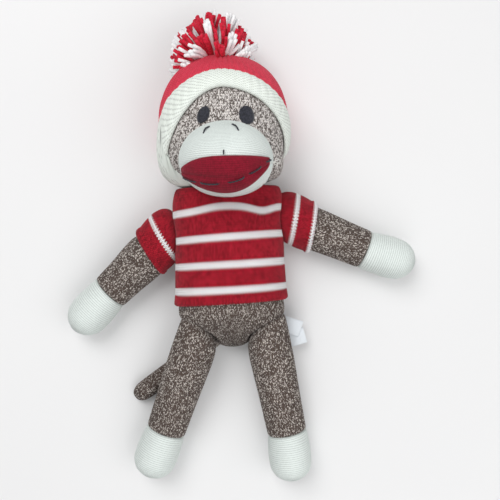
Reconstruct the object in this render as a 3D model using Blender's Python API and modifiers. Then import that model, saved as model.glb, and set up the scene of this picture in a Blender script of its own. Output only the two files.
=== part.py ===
"""Sock monkey doll lying on its back, as an assembly of knitted skins, stuffing, clothes and face pieces.

Frame: metres, +Z up, the doll lies on the plane Z = 0 with its head towards +Y. "left" and
"right" are the doll's own, so its left is +X. The origin is under the middle of the whole doll.
"""
from dataclasses import dataclass
from math import cos, pi, radians, sin, sqrt

import bmesh
import bpy
from mathutils import Matrix, Vector
from mathutils.bvhtree import BVHTree

# Cloth, thread and clearances
skin = 0.0012
fill_gap = 0.0004
seat_gap = 0.0006
seam_gap = 0.0003
contact_depth = 0.0005
overrun = 0.08

# Torso, measured from the middle of the chest along the doll
torso_lean = radians(2.0)
torso_middle_x = -0.008
torso_middle_y = 0.005
torso_above = 0.0365
torso_below = 0.071
torso_half_width = 0.0352
torso_depth = 0.0428
neck_height = 0.021

# Sweater
sweater_wall = 0.0016
sweater_gap = 0.0006
collar_rise = 0.0005
hem_drop = 0.0375
collar_half_width = 0.0346

# Head, muzzle and neck
neck_radius = 0.016
neck_wad_radius = 0.01
head_length = 0.082
head_half_width = 0.0382
head_depth = 0.065
head_shift = -0.0019
muzzle_half_width = 0.0292
muzzle_half_height = 0.0217
muzzle_rise = 0.0265
muzzle_bulge = 0.028
muzzle_lip = 0.0055
muzzle_above_neck = 0.0145
muzzle_shift = 0.0003
muzzle_base = 0.052

# Face
eye_lift = 0.0009
eye_rise = 0.039
eye_half_gap = 0.01275
eye_half_width_right = 0.0034
eye_half_height_right = 0.0048
eye_half_width_left = 0.0041
eye_half_height_left = 0.0055
thread_radius = 0.00045
lip_wall = 0.0014
stitch_length = 0.0095
stitch_pitch = 0.0115
stitch_count = 5

# Hat
hat_wall = 0.003
hat_gap = 0.0008
brim_wall = 0.0044
brim_width = 0.0145
pompom_radius = 0.0295
pompom_rise = 0.0025
pompom_shift = -0.0072
tie_radius = 0.003
tie_length = 0.009

# Arms
arm_radius = 0.0132
arm_length = 0.051
hand_length = 0.034
hand_height = 0.0128
shoulder_standoff = 0.0086
shoulder_height = 0.0175
shoulder_rise_right = 0.0045
shoulder_rise_left = 0.014
arm_drop_right = radians(43.8)
arm_drop_left = radians(21.8)
hand_drop_right = radians(47.0)
hand_drop_left = radians(17.0)
sleeve_wall = 0.0015
sleeve_gap = 0.0013
sleeve_length = 0.0125
wad_radius = 0.005

# Legs
leg_radius = 0.0143
leg_length = 0.068
foot_length = 0.032
crotch_half_gap = 0.0089
crotch_drop = 0.009
tail_room = 0.0077
leg_bow = 0.0022
leg_splay_right = radians(19.4)
leg_splay_left = radians(11.6)
foot_splay_right = radians(21.0)
foot_splay_left = radians(6.7)

# Tail
tail_length = 0.0705
tail_root_height = 0.0066
tail_root_half_width = 0.0058
tail_root_out = 0.0036
tail_root_down = 0.003
tail_heading = radians(216.6)

# Sewn-in labels at the left hip
label_wall = 0.0005
label_width = 0.0125
label_height = 0.011
label_above_hip = 0.0125
label_step = 0.0105
label_lie = 0.0115
label_turn_upper = radians(-22.0)
label_turn_lower = radians(14.0)

# Counts
torso_sides = 24
head_sides = 24
limb_sides = 16
tail_sides = 12
ball_segments = 20
ball_rings = 12
wad_segments = 12
wad_rings = 8

# Each row: place from crotch to neck, half width, floor and top, as shares of the torso's sizes
TORSO_SHARES = (
    (0.000, 0.150, 0.100, 0.260),
    (0.012, 0.400, 0.040, 0.400),
    (0.037, 0.640, 0.000, 0.500),
    (0.075, 0.820, 0.000, 0.610),
    (0.130, 0.930, 0.000, 0.750),
    (0.195, 0.985, 0.000, 0.905),
    (0.270, 1.000, 0.051, 1.010),
    (0.365, 0.995, 0.051, 1.050),
    (0.520, 0.972, 0.051, 1.025),
    (0.680, 0.960, 0.051, 0.970),
    (0.830, 0.950, 0.051, 0.930),
    (0.915, 0.870, 0.058, 0.905),
    (0.970, 0.700, 0.066, 0.900),
)
SWEATER_SHARES = (0.00, 0.09, 0.30, 0.53, 0.75, 0.89, 1.00)
# Each row: place from neck to crown, half width, floor and top, as shares of the head's sizes
HEAD_SHARES = (
    (0.048, 0.450, 0.080, 0.500),
    (0.068, 0.760, 0.075, 0.600),
    (0.100, 0.905, 0.045, 0.715),
    (0.165, 0.985, 0.016, 0.865),
    (0.290, 1.000, 0.000, 0.975),
    (0.430, 1.000, 0.000, 1.000),
    (0.570, 0.985, 0.000, 0.995),
    (0.700, 0.920, 0.010, 0.955),
    (0.820, 0.790, 0.060, 0.865),
    (0.910, 0.600, 0.150, 0.740),
    (0.970, 0.360, 0.270, 0.600),
    (1.000, 0.120, 0.385, 0.480),
)
torso_power_share = 0.88
head_power_share = 0.94
muzzle_edge_share = 0.61
# Each row: place along the limb and radius, as shares of its length and radius
LEG_SHARES = ((0.16, 1.000), (0.33, 0.995), (0.52, 0.970), (0.72, 0.940), (0.90, 0.925), (1.00, 0.915))
FOOT_SHARES = ((0.00, 0.925), (0.20, 0.965), (0.42, 1.000), (0.64, 0.980), (0.82, 0.830), (0.94, 0.560), (1.00, 0.250))
ARM_SHARES = ((0.20, 1.000), (0.45, 0.985), (0.70, 0.970), (1.00, 0.960))
HAND_SHARES = ((0.00, 0.970), (0.22, 1.020), (0.46, 1.060), (0.68, 1.010), (0.86, 0.780), (0.96, 0.500), (1.00, 0.250))
SLEEVE_SHARES = (-1.1, -0.4, 0.1, 0.55, 1.0)
ROOT_BALL_TURNS = (-72.0, -50.0, -31.0, -14.0, 0.0)
# Each row: place along the tail, half width and height
TAIL_SHARES = (
    (0.00, 1.00, 1.00), (0.20, 1.03, 1.02), (0.42, 1.06, 1.08), (0.53, 1.08, 1.22), (0.62, 1.09, 1.42),
    (0.72, 1.10, 1.66), (0.82, 1.10, 1.82), (0.90, 1.04, 1.76), (0.96, 0.80, 1.40), (1.00, 0.45, 0.95),
)
# The brim's lower edge: place along the head and height, in front and at the nape
brim_front_shares = (0.677, 0.94)
brim_back_shares = (0.116, 0.0)
# Mouth: upper and lower edge of the red patch at steps from its right to its left corner, as
# shares of the muzzle's half height, measured from the muzzle's middle
LIP_STEP_SHARES = (-0.86, -0.66, -0.42, -0.14, 0.14, 0.42, 0.66, 0.86)
LIP_TOP_SHARES = (-0.30, -0.17, -0.10, -0.075, -0.07, -0.05, -0.03, -0.03)
LIP_BOTTOM_SHARES = (-0.42, -0.66, -0.83, -0.925, -0.925, -0.80, -0.56, -0.16)
LIP_ROW_SHARES = (0.0, 0.25, 0.5, 0.75, 1.0)
mouth_line_share = 0.62
STITCH_POINT_SHARES = (0.0, 0.33, 0.67, 1.0)
NOSTRIL_SHARES = (
    ((0.147, 0.676), (0.220, 0.600), (0.277, 0.520)),
    ((-0.298, 0.620), (-0.365, 0.550), (-0.414, 0.465)),
)

COLOURS = {
    "marl": ((0.20, 0.165, 0.15), 0.95),
    "cream": ((0.82, 0.86, 0.80), 0.95),
    "red_knit": ((0.55, 0.02, 0.05), 0.95),
    "lip_red": ((0.36, 0.012, 0.035), 0.95),
    "yarn": ((0.66, 0.10, 0.14), 0.95),
    "black_thread": ((0.012, 0.014, 0.022), 0.75),
    "fibre": ((0.85, 0.85, 0.84), 1.0),
    "label": ((0.80, 0.86, 0.90), 0.7),
}

UP = Vector((0, 0, 1))


@dataclass
class Row:
    """One ring of a soft form: an ellipse that stands across the form's path, flat on its floor."""

    centre: Vector
    side: Vector
    half_width: float
    half_height: float
    floor: float = 0.0
    power: float = 1.0


def round_row(centre, side, radius):
    """A ring of a limb, flat where it would go below the plane it lies on."""
    return Row(centre, side, radius, radius)


def offset_rows(rows, distance):
    """The same form, grown by a distance square to its surface, or drawn in where it is negative."""
    grown = []
    for index, row in enumerate(rows):
        before = rows[max(0, index - 1)]
        after = rows[min(len(rows) - 1, index + 1)]
        path = after.centre - before.centre
        path.z = 0
        slope = (after.half_width - before.half_width) / path.length
        square = 1 / sqrt(1 + slope * slope)
        shift = -distance * slope * square
        edges = []
        for sign in (1, -1):
            rise = (after.centre.z - before.centre.z + sign * (after.half_height - before.half_height)) / path.length
            edge = row.centre.z + sign * row.half_height
            edges.append(edge + shift * rise + sign * distance * sqrt(1 + rise * rise))
        centre = row.centre + path.normalized() * shift
        centre.z = (edges[0] + edges[1]) / 2
        grown.append(Row(
            centre, row.side, row.half_width + distance * square, (edges[0] - edges[1]) / 2,
            row.floor - distance, row.power))
    return grown


def row_points(row, sides):
    points = []
    for step in range(sides):
        turn = 2 * pi * (step + 0.5) / sides
        across = abs(cos(turn)) ** row.power * (1 if cos(turn) >= 0 else -1)
        up = abs(sin(turn)) ** row.power * (1 if sin(turn) >= 0 else -1)
        point = row.centre + row.side * (row.half_width * across) + UP * (row.half_height * up)
        point.z = max(point.z, row.floor)
        points.append(point)
    return points


parts = bpy.data.collections.new("sock_monkey_doll")
cutters = bpy.data.collections.new("cutters")


def clear_scene():
    for obj in list(bpy.data.objects):
        bpy.data.objects.remove(obj, do_unlink=True)
    bpy.context.scene.collection.children.link(parts)
    bpy.context.scene.collection.children.link(cutters)


def make_material(name, finish):
    colour, roughness = COLOURS[finish]
    material = bpy.data.materials.new(name + "_" + finish)
    material.use_nodes = True
    shader = material.node_tree.nodes["Principled BSDF"]
    shader.inputs["Base Color"].default_value = (*colour, 1.0)
    shader.inputs["Roughness"].default_value = roughness
    shader.inputs["Metallic"].default_value = 0.0
    return material


def add_object(name, mesh_builder, finish=None):
    """Turn a finished bmesh into a named part, or into a hidden cutter when it has no finish."""
    mesh = bpy.data.meshes.new(name)
    mesh_builder.to_mesh(mesh)
    mesh_builder.free()
    obj = bpy.data.objects.new(name, mesh)
    if finish is None:
        cutters.objects.link(obj)
        obj.hide_render = True
        obj.display_type = "WIRE"
    else:
        parts.objects.link(obj)
        mesh.materials.append(make_material(name, finish))
        mesh.shade_smooth()
    return obj


def set_origin(obj, point):
    """Put a moving piece's origin on its joint without moving the piece."""
    obj.data.transform(Matrix.Translation(-point))
    obj.location = point


def loft(name, rows, sides, finish=None, open_start=False, open_end=False):
    """Skin a run of unlike rings, with flat caps on the ends that stay closed."""
    builder = bmesh.new()
    loops = [[builder.verts.new(p) for p in row_points(row, sides)] for row in rows]
    for lower, upper in zip(loops, loops[1:]):
        for step in range(sides):
            after = (step + 1) % sides
            builder.faces.new((lower[step], lower[after], upper[after], upper[step]))
    if not open_start:
        builder.faces.new(loops[0])
    if not open_end:
        builder.faces.new(loops[-1])
    bmesh.ops.recalc_face_normals(builder, faces=builder.faces[:])
    return add_object(name, builder, finish)


def give_wall(obj, wall):
    """Thicken an open skin inwards."""
    solid = obj.modifiers.new("wall", "SOLIDIFY")
    solid.thickness = wall
    solid.offset = -1.0
    solid.use_even_offset = True
    return obj


def lining(name, outside, depth):
    """The closed form inside an open skin, the same depth below its surface all over."""
    give_wall(outside, depth).modifiers["wall"].use_rim = False
    graph = bpy.context.evaluated_depsgraph_get()
    builder = bmesh.new()
    builder.from_mesh(bpy.data.meshes.new_from_object(outside.evaluated_get(graph)))
    builder.verts.ensure_lookup_table()
    bmesh.ops.delete(builder, geom=builder.verts[:len(outside.data.vertices)], context="VERTS")
    rim = [edge for edge in builder.edges if edge.is_boundary]
    bmesh.ops.contextual_create(builder, geom=rim)
    bmesh.ops.recalc_face_normals(builder, faces=builder.faces[:])
    return add_object(name, builder, "fibre")


def cut(obj, *tools):
    for tool in tools:
        boolean = obj.modifiers.new("cut_" + tool.name, "BOOLEAN")
        boolean.operation = "DIFFERENCE"
        boolean.solver = "EXACT"
        boolean.object = tool
    return obj


def ball(name, centre, radius, finish=None, segments=ball_segments, rings=ball_rings):
    builder = bmesh.new()
    bmesh.ops.create_uvsphere(builder, u_segments=segments, v_segments=rings, radius=radius)
    bmesh.ops.translate(builder, verts=builder.verts[:], vec=centre)
    return add_object(name, builder, finish)


def box(name, low, high, frame=None, finish=None):
    builder = bmesh.new()
    bmesh.ops.create_cube(builder, size=1.0)
    low, high = Vector(low), Vector(high)
    bmesh.ops.scale(builder, verts=builder.verts[:], vec=high - low)
    bmesh.ops.translate(builder, verts=builder.verts[:], vec=(low + high) / 2)
    if frame is not None:
        bmesh.ops.transform(builder, verts=builder.verts[:], matrix=frame)
    return add_object(name, builder, finish)


# The torso's own frame: x across the doll, y along it from the middle of the chest
torso_frame = Matrix.Translation((torso_middle_x, torso_middle_y, 0)) @ Matrix.Rotation(torso_lean, 4, "Z")
across_torso = (torso_frame.to_3x3() @ Vector((1, 0, 0))).normalized()
along_torso = (torso_frame.to_3x3() @ Vector((0, 1, 0))).normalized()


def on_torso(across, along, height=0.0):
    return torso_frame @ Vector((across, along, height))


under_sweater = sweater_wall + sweater_gap
torso_length = torso_above + torso_below
sweater_half_width = torso_half_width * TORSO_SHARES[9][1] + under_sweater
neck_pivot = on_torso(0, torso_above, neck_height)
hip_across = leg_radius + crotch_half_gap
hip_along = crotch_drop - torso_below
hip_height = leg_radius + tail_room


def torso_row(along, half_width, low, high, floor_depth):
    """A ring of the torso or the sweater; the flat under it takes the last half millimetre."""
    reach = high - low + floor_depth
    centre = on_torso(0, along, low - floor_depth + reach / 2)
    return Row(centre, across_torso, half_width, reach / 2, low, torso_power_share)


def torso_rows():
    rows = []
    for place, width, low, high in TORSO_SHARES:
        rows.append(torso_row(
            place * torso_length - torso_below, width * torso_half_width,
            low * torso_depth, high * torso_depth, contact_depth,
        ))
    rim = neck_radius + skin + seat_gap
    rows.append(Row(neck_pivot.copy(), across_torso, rim, rim, neck_height - rim))
    return rows


def torso_profile(along):
    """Half width and top of the bare torso at a place along it, between its rows."""
    place = (along + torso_below) / torso_length
    for before, after in zip(TORSO_SHARES, TORSO_SHARES[1:]):
        if place <= after[0]:
            share = max(0, (place - before[0]) / (after[0] - before[0]))
            width = before[1] + (after[1] - before[1]) * share
            top = before[3] + (after[3] - before[3]) * share
            return width * torso_half_width, top * torso_depth
    return TORSO_SHARES[-1][1] * torso_half_width, TORSO_SHARES[-1][3] * torso_depth


def sweater_rows(extra=0.0):
    """Outer rings of the sweater, which hangs straight past the narrowing shoulders to its collar."""
    rows = []
    collar = torso_above + collar_rise
    for share in SWEATER_SHARES:
        along = -hem_drop + share * (collar + hem_drop)
        half_width, top = torso_profile(along)
        loose = under_sweater + extra
        if along > torso_above * SWEATER_SHARES[2]:
            straight = (along - torso_above * SWEATER_SHARES[2]) / (collar - torso_above * SWEATER_SHARES[2])
            half_width = sweater_half_width - under_sweater
            half_width += (collar_half_width - sweater_half_width) * straight
            top = max(top, neck_height + neck_radius + skin + seat_gap)
        rows.append(torso_row(along, half_width + loose, -extra, top + loose, contact_depth))
    return rows


def build_torso():
    """Body skin and its stuffing, with seats for the neck, the shoulders and the hips."""
    seats = [ball("seat_neck", neck_pivot, neck_radius + seat_gap)]
    for side, name in ((-1, "right"), (1, "left")):
        seats.append(ball("seat_shoulder_" + name, shoulder_pivot(side), arm_radius + seat_gap))
        seats.append(ball("seat_hip_" + name, hip_pivot(side), leg_radius + seat_gap))
        inner, outer = crotch_half_gap - seam_gap, overrun
        low, high = (inner, outer) if side > 0 else (-outer, -inner)
        lap_top = hip_along + leg_radius + seat_gap
        seats.append(box(
            "lap_" + name, (low, -overrun * 2, hip_height), (high, lap_top, overrun), torso_frame))
        seats.append(box(
            "thigh_room_" + name, (low, -overrun * 2, -overrun), (high, hip_along + crotch_drop / 4, overrun),
            torso_frame))
    cloth = give_wall(loft("body_skin", torso_rows(), torso_sides, "marl", open_end=True), skin)
    cut(cloth, *seats)
    fill = loft("body_stuffing", offset_rows(torso_rows(), -skin - fill_gap)[1:], torso_sides, "fibre")
    cut(fill, *seats)


def build_sweater():
    cloth = give_wall(
        loft("sweater_body", sweater_rows(), torso_sides, "red_knit", open_start=True, open_end=True), sweater_wall)
    armholes = [
        ball("armhole_" + name, shoulder_pivot(side), arm_radius + seat_gap * 2)
        for side, name in ((-1, "right"), (1, "left"))
    ]
    cut(cloth, *armholes)


def shoulder_pivot(side):
    rise = shoulder_rise_left if side > 0 else shoulder_rise_right
    return on_torso(side * (sweater_half_width + shoulder_standoff), rise, shoulder_height)


def hip_pivot(side):
    return on_torso(side * hip_across, hip_along, hip_height)


def heading(turn):
    """A level unit vector, turned from +X towards +Y."""
    return Vector((cos(turn), sin(turn), 0))


def limb_rows(pivot, way, length, radius, end_height, shares, bow=0.0):
    """Rings of a limb: a ball about its joint, then a tube that comes down to its resting height."""
    side = Vector((-way.y, way.x, 0))
    rows = []
    for degrees in ROOT_BALL_TURNS:
        turn = radians(degrees)
        rows.append(round_row(pivot + way * (radius * sin(turn)), side, radius * cos(turn)))
    for place, thick in shares:
        drop = (pivot.z - end_height) * place - bow * 4 * place * (1 - place)
        rows.append(round_row(pivot + way * (length * place) - UP * drop, side, radius * thick))
    return rows


def tip_rows(start, limb_way, way, length, radius, shares):
    """Rings of a hand or a foot, from its seam, which is square to the limb, to its rounded end."""
    rows = []
    for place, thick in shares:
        turned = way if place > 0 else limb_way
        rows.append(round_row(start + way * (length * place), Vector((-turned.y, turned.x, 0)), radius * thick))
    return rows


def limb_stuffing(name, tube, tip, pivot):
    """One wad from the joint to the rounded end, with a cup in its root for the joint's own wad."""
    rows = offset_rows(tube[3:] + tip[1:], -skin - fill_gap)
    fill = loft(name, rows, limb_sides, "fibre")
    cut(fill, wad(name + "_cup", pivot, wad_radius + seat_gap))
    set_origin(fill, pivot)


def wad(name, pivot, radius, finish=None):
    """A joint's small round wad of stuffing, or the cup for it."""
    return ball(name, pivot, radius, finish, wad_segments, wad_rings)


def build_arm(side, torso_side):
    name = "left" if side > 0 else "right"
    drop = arm_drop_left if side > 0 else arm_drop_right
    hand_drop = hand_drop_left if side > 0 else hand_drop_right
    way = heading(-drop if side > 0 else pi + drop)
    hand_way = heading(-hand_drop if side > 0 else pi + hand_drop)
    pivot = shoulder_pivot(side)
    tube = limb_rows(pivot, way, arm_length, arm_radius, hand_height, ARM_SHARES)
    wrist = pivot + way * arm_length
    wrist.z = hand_height
    tip = tip_rows(wrist + way * seam_gap, way, hand_way, hand_length, arm_radius, HAND_SHARES)
    cloth = give_wall(loft("arm_skin_" + name, tube, limb_sides, "marl", open_end=True), skin)
    set_origin(cloth, pivot)
    hand = give_wall(loft("hand_skin_" + name, tip, limb_sides, "cream", open_start=True), skin)
    set_origin(hand, pivot)
    limb_stuffing("arm_stuffing_" + name, tube, tip, pivot)
    set_origin(wad("shoulder_stuffing_" + name, pivot, wad_radius, "fibre"), pivot)
    build_sleeve(name, pivot, way, torso_side)


def build_sleeve(name, pivot, way, torso_side):
    """A short tube of the sweater's cloth round the arm, cut where the sweater's side begins."""
    radius = arm_radius + sleeve_gap + sleeve_wall
    side = Vector((-way.y, way.x, 0))
    rows = []
    for place in SLEEVE_SHARES:
        centre = pivot + way * (sleeve_length * place)
        centre.z += (radius - contact_depth - pivot.z) * max(0, place)
        rows.append(Row(centre, side, radius, radius))
    cloth = loft("sleeve_" + name, rows, limb_sides, "red_knit", open_start=True, open_end=True)
    give_wall(cloth, sleeve_wall)
    cut(cloth, torso_side)
    set_origin(cloth, pivot)


def build_leg(side):
    name = "left" if side > 0 else "right"
    splay = leg_splay_left if side > 0 else leg_splay_right
    foot_splay = foot_splay_left if side > 0 else foot_splay_right
    way = heading(-pi / 2 + side * splay)
    foot_way = heading(-pi / 2 + side * foot_splay)
    pivot = hip_pivot(side)
    end_height = leg_radius * LEG_SHARES[-1][1] - contact_depth
    bow = leg_bow if side < 0 else 0.0
    tube = limb_rows(pivot, way, leg_length, leg_radius, end_height, LEG_SHARES, bow)
    ankle = pivot + way * leg_length
    ankle.z = end_height
    tip = tip_rows(ankle + way * seam_gap, way, foot_way, foot_length, leg_radius, FOOT_SHARES)
    cloth = give_wall(loft("leg_skin_" + name, tube, limb_sides, "marl", open_end=True), skin)
    set_origin(cloth, pivot)
    foot = give_wall(loft("foot_skin_" + name, tip, limb_sides, "cream", open_start=True), skin)
    set_origin(foot, pivot)
    limb_stuffing("leg_stuffing_" + name, tube, tip, pivot)
    set_origin(wad("hip_stuffing_" + name, pivot, wad_radius, "fibre"), pivot)


def build_tail():
    """The tail: sewn on at the seat, flat under the right thigh, full past it."""
    way = heading(tail_heading)
    side = Vector((-way.y, way.x, 0))
    root = on_torso(-(crotch_half_gap + tail_root_out), hip_along - tail_root_down)
    rows = []
    for place, width, height in TAIL_SHARES:
        half_height = tail_root_height * height / 2
        centre = root + way * (tail_length * place) + UP * (half_height - contact_depth)
        rows.append(Row(centre, side, tail_root_half_width * width, half_height))
    cloth = give_wall(loft("tail_skin", rows, tail_sides, "marl", open_start=True), skin)
    fill = lining("tail_stuffing", loft("tail_outside", rows, tail_sides, open_start=True), skin + fill_gap)
    pivot = root + UP * (tail_root_height / 2)
    set_origin(cloth, pivot)
    set_origin(fill, pivot)


head_base_height = hat_wall + hat_gap


def head_rows():
    """Rings of the head: a ball in the neck seat, wide cheeks just above the collar, round crown."""
    rows = []
    for degrees in ROOT_BALL_TURNS[1:]:
        turn = radians(degrees)
        rows.append(Row(
            neck_pivot + along_torso * (neck_radius * sin(turn)), across_torso,
            neck_radius * cos(turn), neck_radius * cos(turn), -overrun))
    for place, width, low, high in HEAD_SHARES:
        floor = head_base_height + low * head_depth
        reach = (high - low) * head_depth + contact_depth
        centre = neck_pivot + Vector((head_shift * min(1, place * 4), place * head_length, 0))
        centre.z = floor - contact_depth + reach / 2
        rows.append(Row(centre, Vector((1, 0, 0)), width * head_half_width, reach / 2, floor, head_power_share))
    return rows


def surface_tree(obj):
    """The evaluated surface of a piece, for pieces that are laid on it."""
    graph = bpy.context.evaluated_depsgraph_get()
    return BVHTree.FromObject(obj, graph)


def surface_point(tree, x, y, lift=0.0):
    """The highest point of a surface over a place, raised along its normal."""
    hit, normal, _, _ = tree.ray_cast(Vector((x, y, overrun * 2)), -UP)
    return hit + normal * lift, normal


muzzle_middle = neck_pivot + Vector((muzzle_shift, muzzle_above_neck, 0))
muzzle_middle.z = muzzle_base


def muzzle_dome():
    """Half an ellipsoid that bulges forward, with a shallow rounded back edge, open at the back."""
    builder = bmesh.new()
    bmesh.ops.create_uvsphere(builder, u_segments=head_sides, v_segments=ball_rings, radius=1.0)
    for vert in builder.verts:
        depth = muzzle_bulge if vert.co.z >= 0 else muzzle_lip
        reach = muzzle_rise if vert.co.y > 0 else muzzle_half_height
        vert.co.x *= muzzle_half_width
        vert.co.y *= reach
        vert.co.z *= depth
    bmesh.ops.translate(builder, verts=builder.verts[:], vec=muzzle_middle)
    bmesh.ops.bisect_plane(
        builder, geom=builder.verts[:] + builder.edges[:] + builder.faces[:],
        plane_co=muzzle_middle - UP * (muzzle_lip * muzzle_edge_share), plane_no=UP, clear_inner=True)
    return builder


def muzzle_point(across, up, lift):
    """A point on the muzzle's dome from shares of its half width and half height."""
    reach = muzzle_rise if up > 0 else muzzle_half_height
    rise = sqrt(max(0.0, 1 - across * across - up * up))
    point = Vector((across * muzzle_half_width, up * reach, rise * muzzle_bulge))
    normal = Vector((across / muzzle_half_width, up / reach, rise / muzzle_bulge)).normalized()
    return muzzle_middle + point + normal * lift


def build_head():
    cloth = give_wall(loft("head_skin", head_rows(), head_sides, "marl", open_start=True), skin)
    outside = loft("head_outside", head_rows()[1:], head_sides, open_start=True)
    fill = lining("head_stuffing", outside, skin + fill_gap)
    cut(fill, wad("head_cup", neck_pivot, neck_wad_radius + seat_gap))
    for obj in (cloth, fill, wad("neck_stuffing", neck_pivot, neck_wad_radius, "fibre")):
        set_origin(obj, neck_pivot)


def build_muzzle():
    envelope = loft("head_envelope", offset_rows(head_rows(), seam_gap), head_sides)
    cloth = give_wall(add_object("muzzle_skin", muzzle_dome(), "cream"), skin)
    cut(cloth, envelope)
    fill = lining("muzzle_stuffing", add_object("muzzle_outside", muzzle_dome()), skin + fill_gap)
    cut(fill, envelope)
    for obj in (cloth, fill):
        set_origin(obj, neck_pivot)
    return envelope


def build_mouth():
    """The red patch over the lower muzzle, and the row of black running stitches along it."""
    builder = bmesh.new()
    grid = []
    for across, top, bottom in zip(LIP_STEP_SHARES, LIP_TOP_SHARES, LIP_BOTTOM_SHARES):
        column = []
        for share in LIP_ROW_SHARES:
            column.append(builder.verts.new(muzzle_point(across, top + (bottom - top) * share, seam_gap * 3)))
        grid.append(column)
    for left, right in zip(grid, grid[1:]):
        for step in range(len(LIP_ROW_SHARES) - 1):
            builder.faces.new((left[step], left[step + 1], right[step + 1], right[step]))
    patch = add_object("mouth_patch", builder, "lip_red")
    wall = patch.modifiers.new("wall", "SOLIDIFY")
    wall.thickness = lip_wall
    wall.offset = 1.0
    set_origin(patch, neck_pivot)
    line = []
    for across, top, bottom in zip(LIP_STEP_SHARES, LIP_TOP_SHARES, LIP_BOTTOM_SHARES):
        up = top + (bottom - top) * mouth_line_share
        line.append(muzzle_point(across, up, seam_gap * 5 + lip_wall + thread_radius))
    stitches(line)


def along_line(line, distance):
    """The point a distance along a line of points."""
    for start, end in zip(line, line[1:]):
        step = (end - start).length
        if distance <= step:
            return start.lerp(end, distance / step)
        distance -= step
    return line[-1].copy()


def stitches(line):
    total = sum((b - a).length for a, b in zip(line, line[1:]))
    first = (total - stitch_pitch * (stitch_count - 1) - stitch_length) / 2
    for index in range(stitch_count):
        start = first + index * stitch_pitch
        path = [along_line(line, start + stitch_length * share) for share in STITCH_POINT_SHARES]
        thread("mouth_stitch_" + str(index + 1), path)


def thread(name, path):
    """A short run of embroidery thread as a closed tube."""
    curve = bpy.data.curves.new(name + "_path", "CURVE")
    curve.dimensions = "3D"
    curve.bevel_depth = thread_radius
    curve.bevel_resolution = 1
    curve.use_fill_caps = True
    spline = curve.splines.new("POLY")
    spline.points.add(len(path) - 1)
    for point, place in zip(spline.points, path):
        point.co = (*place, 1.0)
    guide = bpy.data.objects.new(name + "_path", curve)
    parts.objects.link(guide)
    graph = bpy.context.evaluated_depsgraph_get()
    mesh = bpy.data.meshes.new_from_object(guide.evaluated_get(graph))
    bpy.data.objects.remove(guide)
    builder = bmesh.new()
    builder.from_mesh(mesh)
    bmesh.ops.remove_doubles(builder, verts=builder.verts[:], dist=thread_radius / 100)
    bmesh.ops.recalc_face_normals(builder, faces=builder.faces[:])
    set_origin(add_object(name, builder, "black_thread"), neck_pivot)


def build_nostrils():
    for name, shares in zip(("left", "right"), NOSTRIL_SHARES):
        path = [muzzle_point(across, up, seam_gap + thread_radius * 2) for across, up in shares]
        thread("nostril_" + name, path)


def build_eyes(envelope):
    tree = surface_tree(bpy.data.objects["head_skin"])
    offset = bpy.data.objects["head_skin"].matrix_world.translation
    sizes = (
        (1, "left", eye_half_width_left, eye_half_height_left),
        (-1, "right", eye_half_width_right, eye_half_height_right),
    )
    for side, name, half_width, half_height in sizes:
        place = neck_pivot + Vector((muzzle_shift + side * eye_half_gap, eye_rise, 0)) - offset
        point, normal = surface_point(tree, place.x, place.y)
        builder = bmesh.new()
        bmesh.ops.create_uvsphere(builder, u_segments=limb_sides, v_segments=ball_rings // 2 + 1, radius=1.0)
        bmesh.ops.scale(builder, verts=builder.verts[:], vec=(half_width, half_height, eye_lift + seam_gap))
        turn = UP.rotation_difference(normal).to_matrix().to_4x4()
        matrix = Matrix.Translation(point + offset) @ turn
        bmesh.ops.transform(builder, verts=builder.verts[:], matrix=matrix)
        eye = add_object("eye_" + name, builder, "black_thread")
        cut(eye, envelope)
        set_origin(eye, neck_pivot)


head_middle = neck_pivot + Vector((head_shift, head_length / 2, 0))
head_middle.z = head_base_height + head_depth / 2


def on_head(shares):
    """A place in the head's middle plane, from shares of its length and its depth."""
    place = neck_pivot + Vector((head_shift, shares[0] * head_length, 0))
    place.z = head_base_height + shares[1] * head_depth
    return place


def hat_plane(offset):
    """A point and the normal of the hat's slanted ring plane, moved towards the crown."""
    front, back = on_head(brim_front_shares), on_head(brim_back_shares)
    normal = (front - back).normalized().cross(Vector((1, 0, 0)))
    return front + normal * offset, normal


def hat_blank(name, wall, low, high=None, finish=None):
    """The head's form grown to the outside of the hat and sliced by the hat's ring planes."""
    rows = offset_rows(head_rows(), hat_gap + wall)
    for row in rows:
        row.floor = max(0.0, row.floor)
    blank = loft(name, rows, head_sides, finish)
    builder = bmesh.new()
    builder.from_mesh(blank.data)
    for offset, flip in ((low, 1), (high, -1)):
        if offset is None:
            continue
        point, normal = hat_plane(offset)
        kept = bmesh.ops.bisect_plane(
            builder, geom=builder.verts[:] + builder.edges[:] + builder.faces[:], plane_co=point,
            plane_no=normal * flip, clear_inner=True)
        rim = [item for item in kept["geom_cut"] if isinstance(item, bmesh.types.BMEdge)]
        bmesh.ops.contextual_create(builder, geom=rim)
    bmesh.ops.recalc_face_normals(builder, faces=builder.faces[:])
    builder.to_mesh(blank.data)
    builder.free()
    return blank


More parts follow.
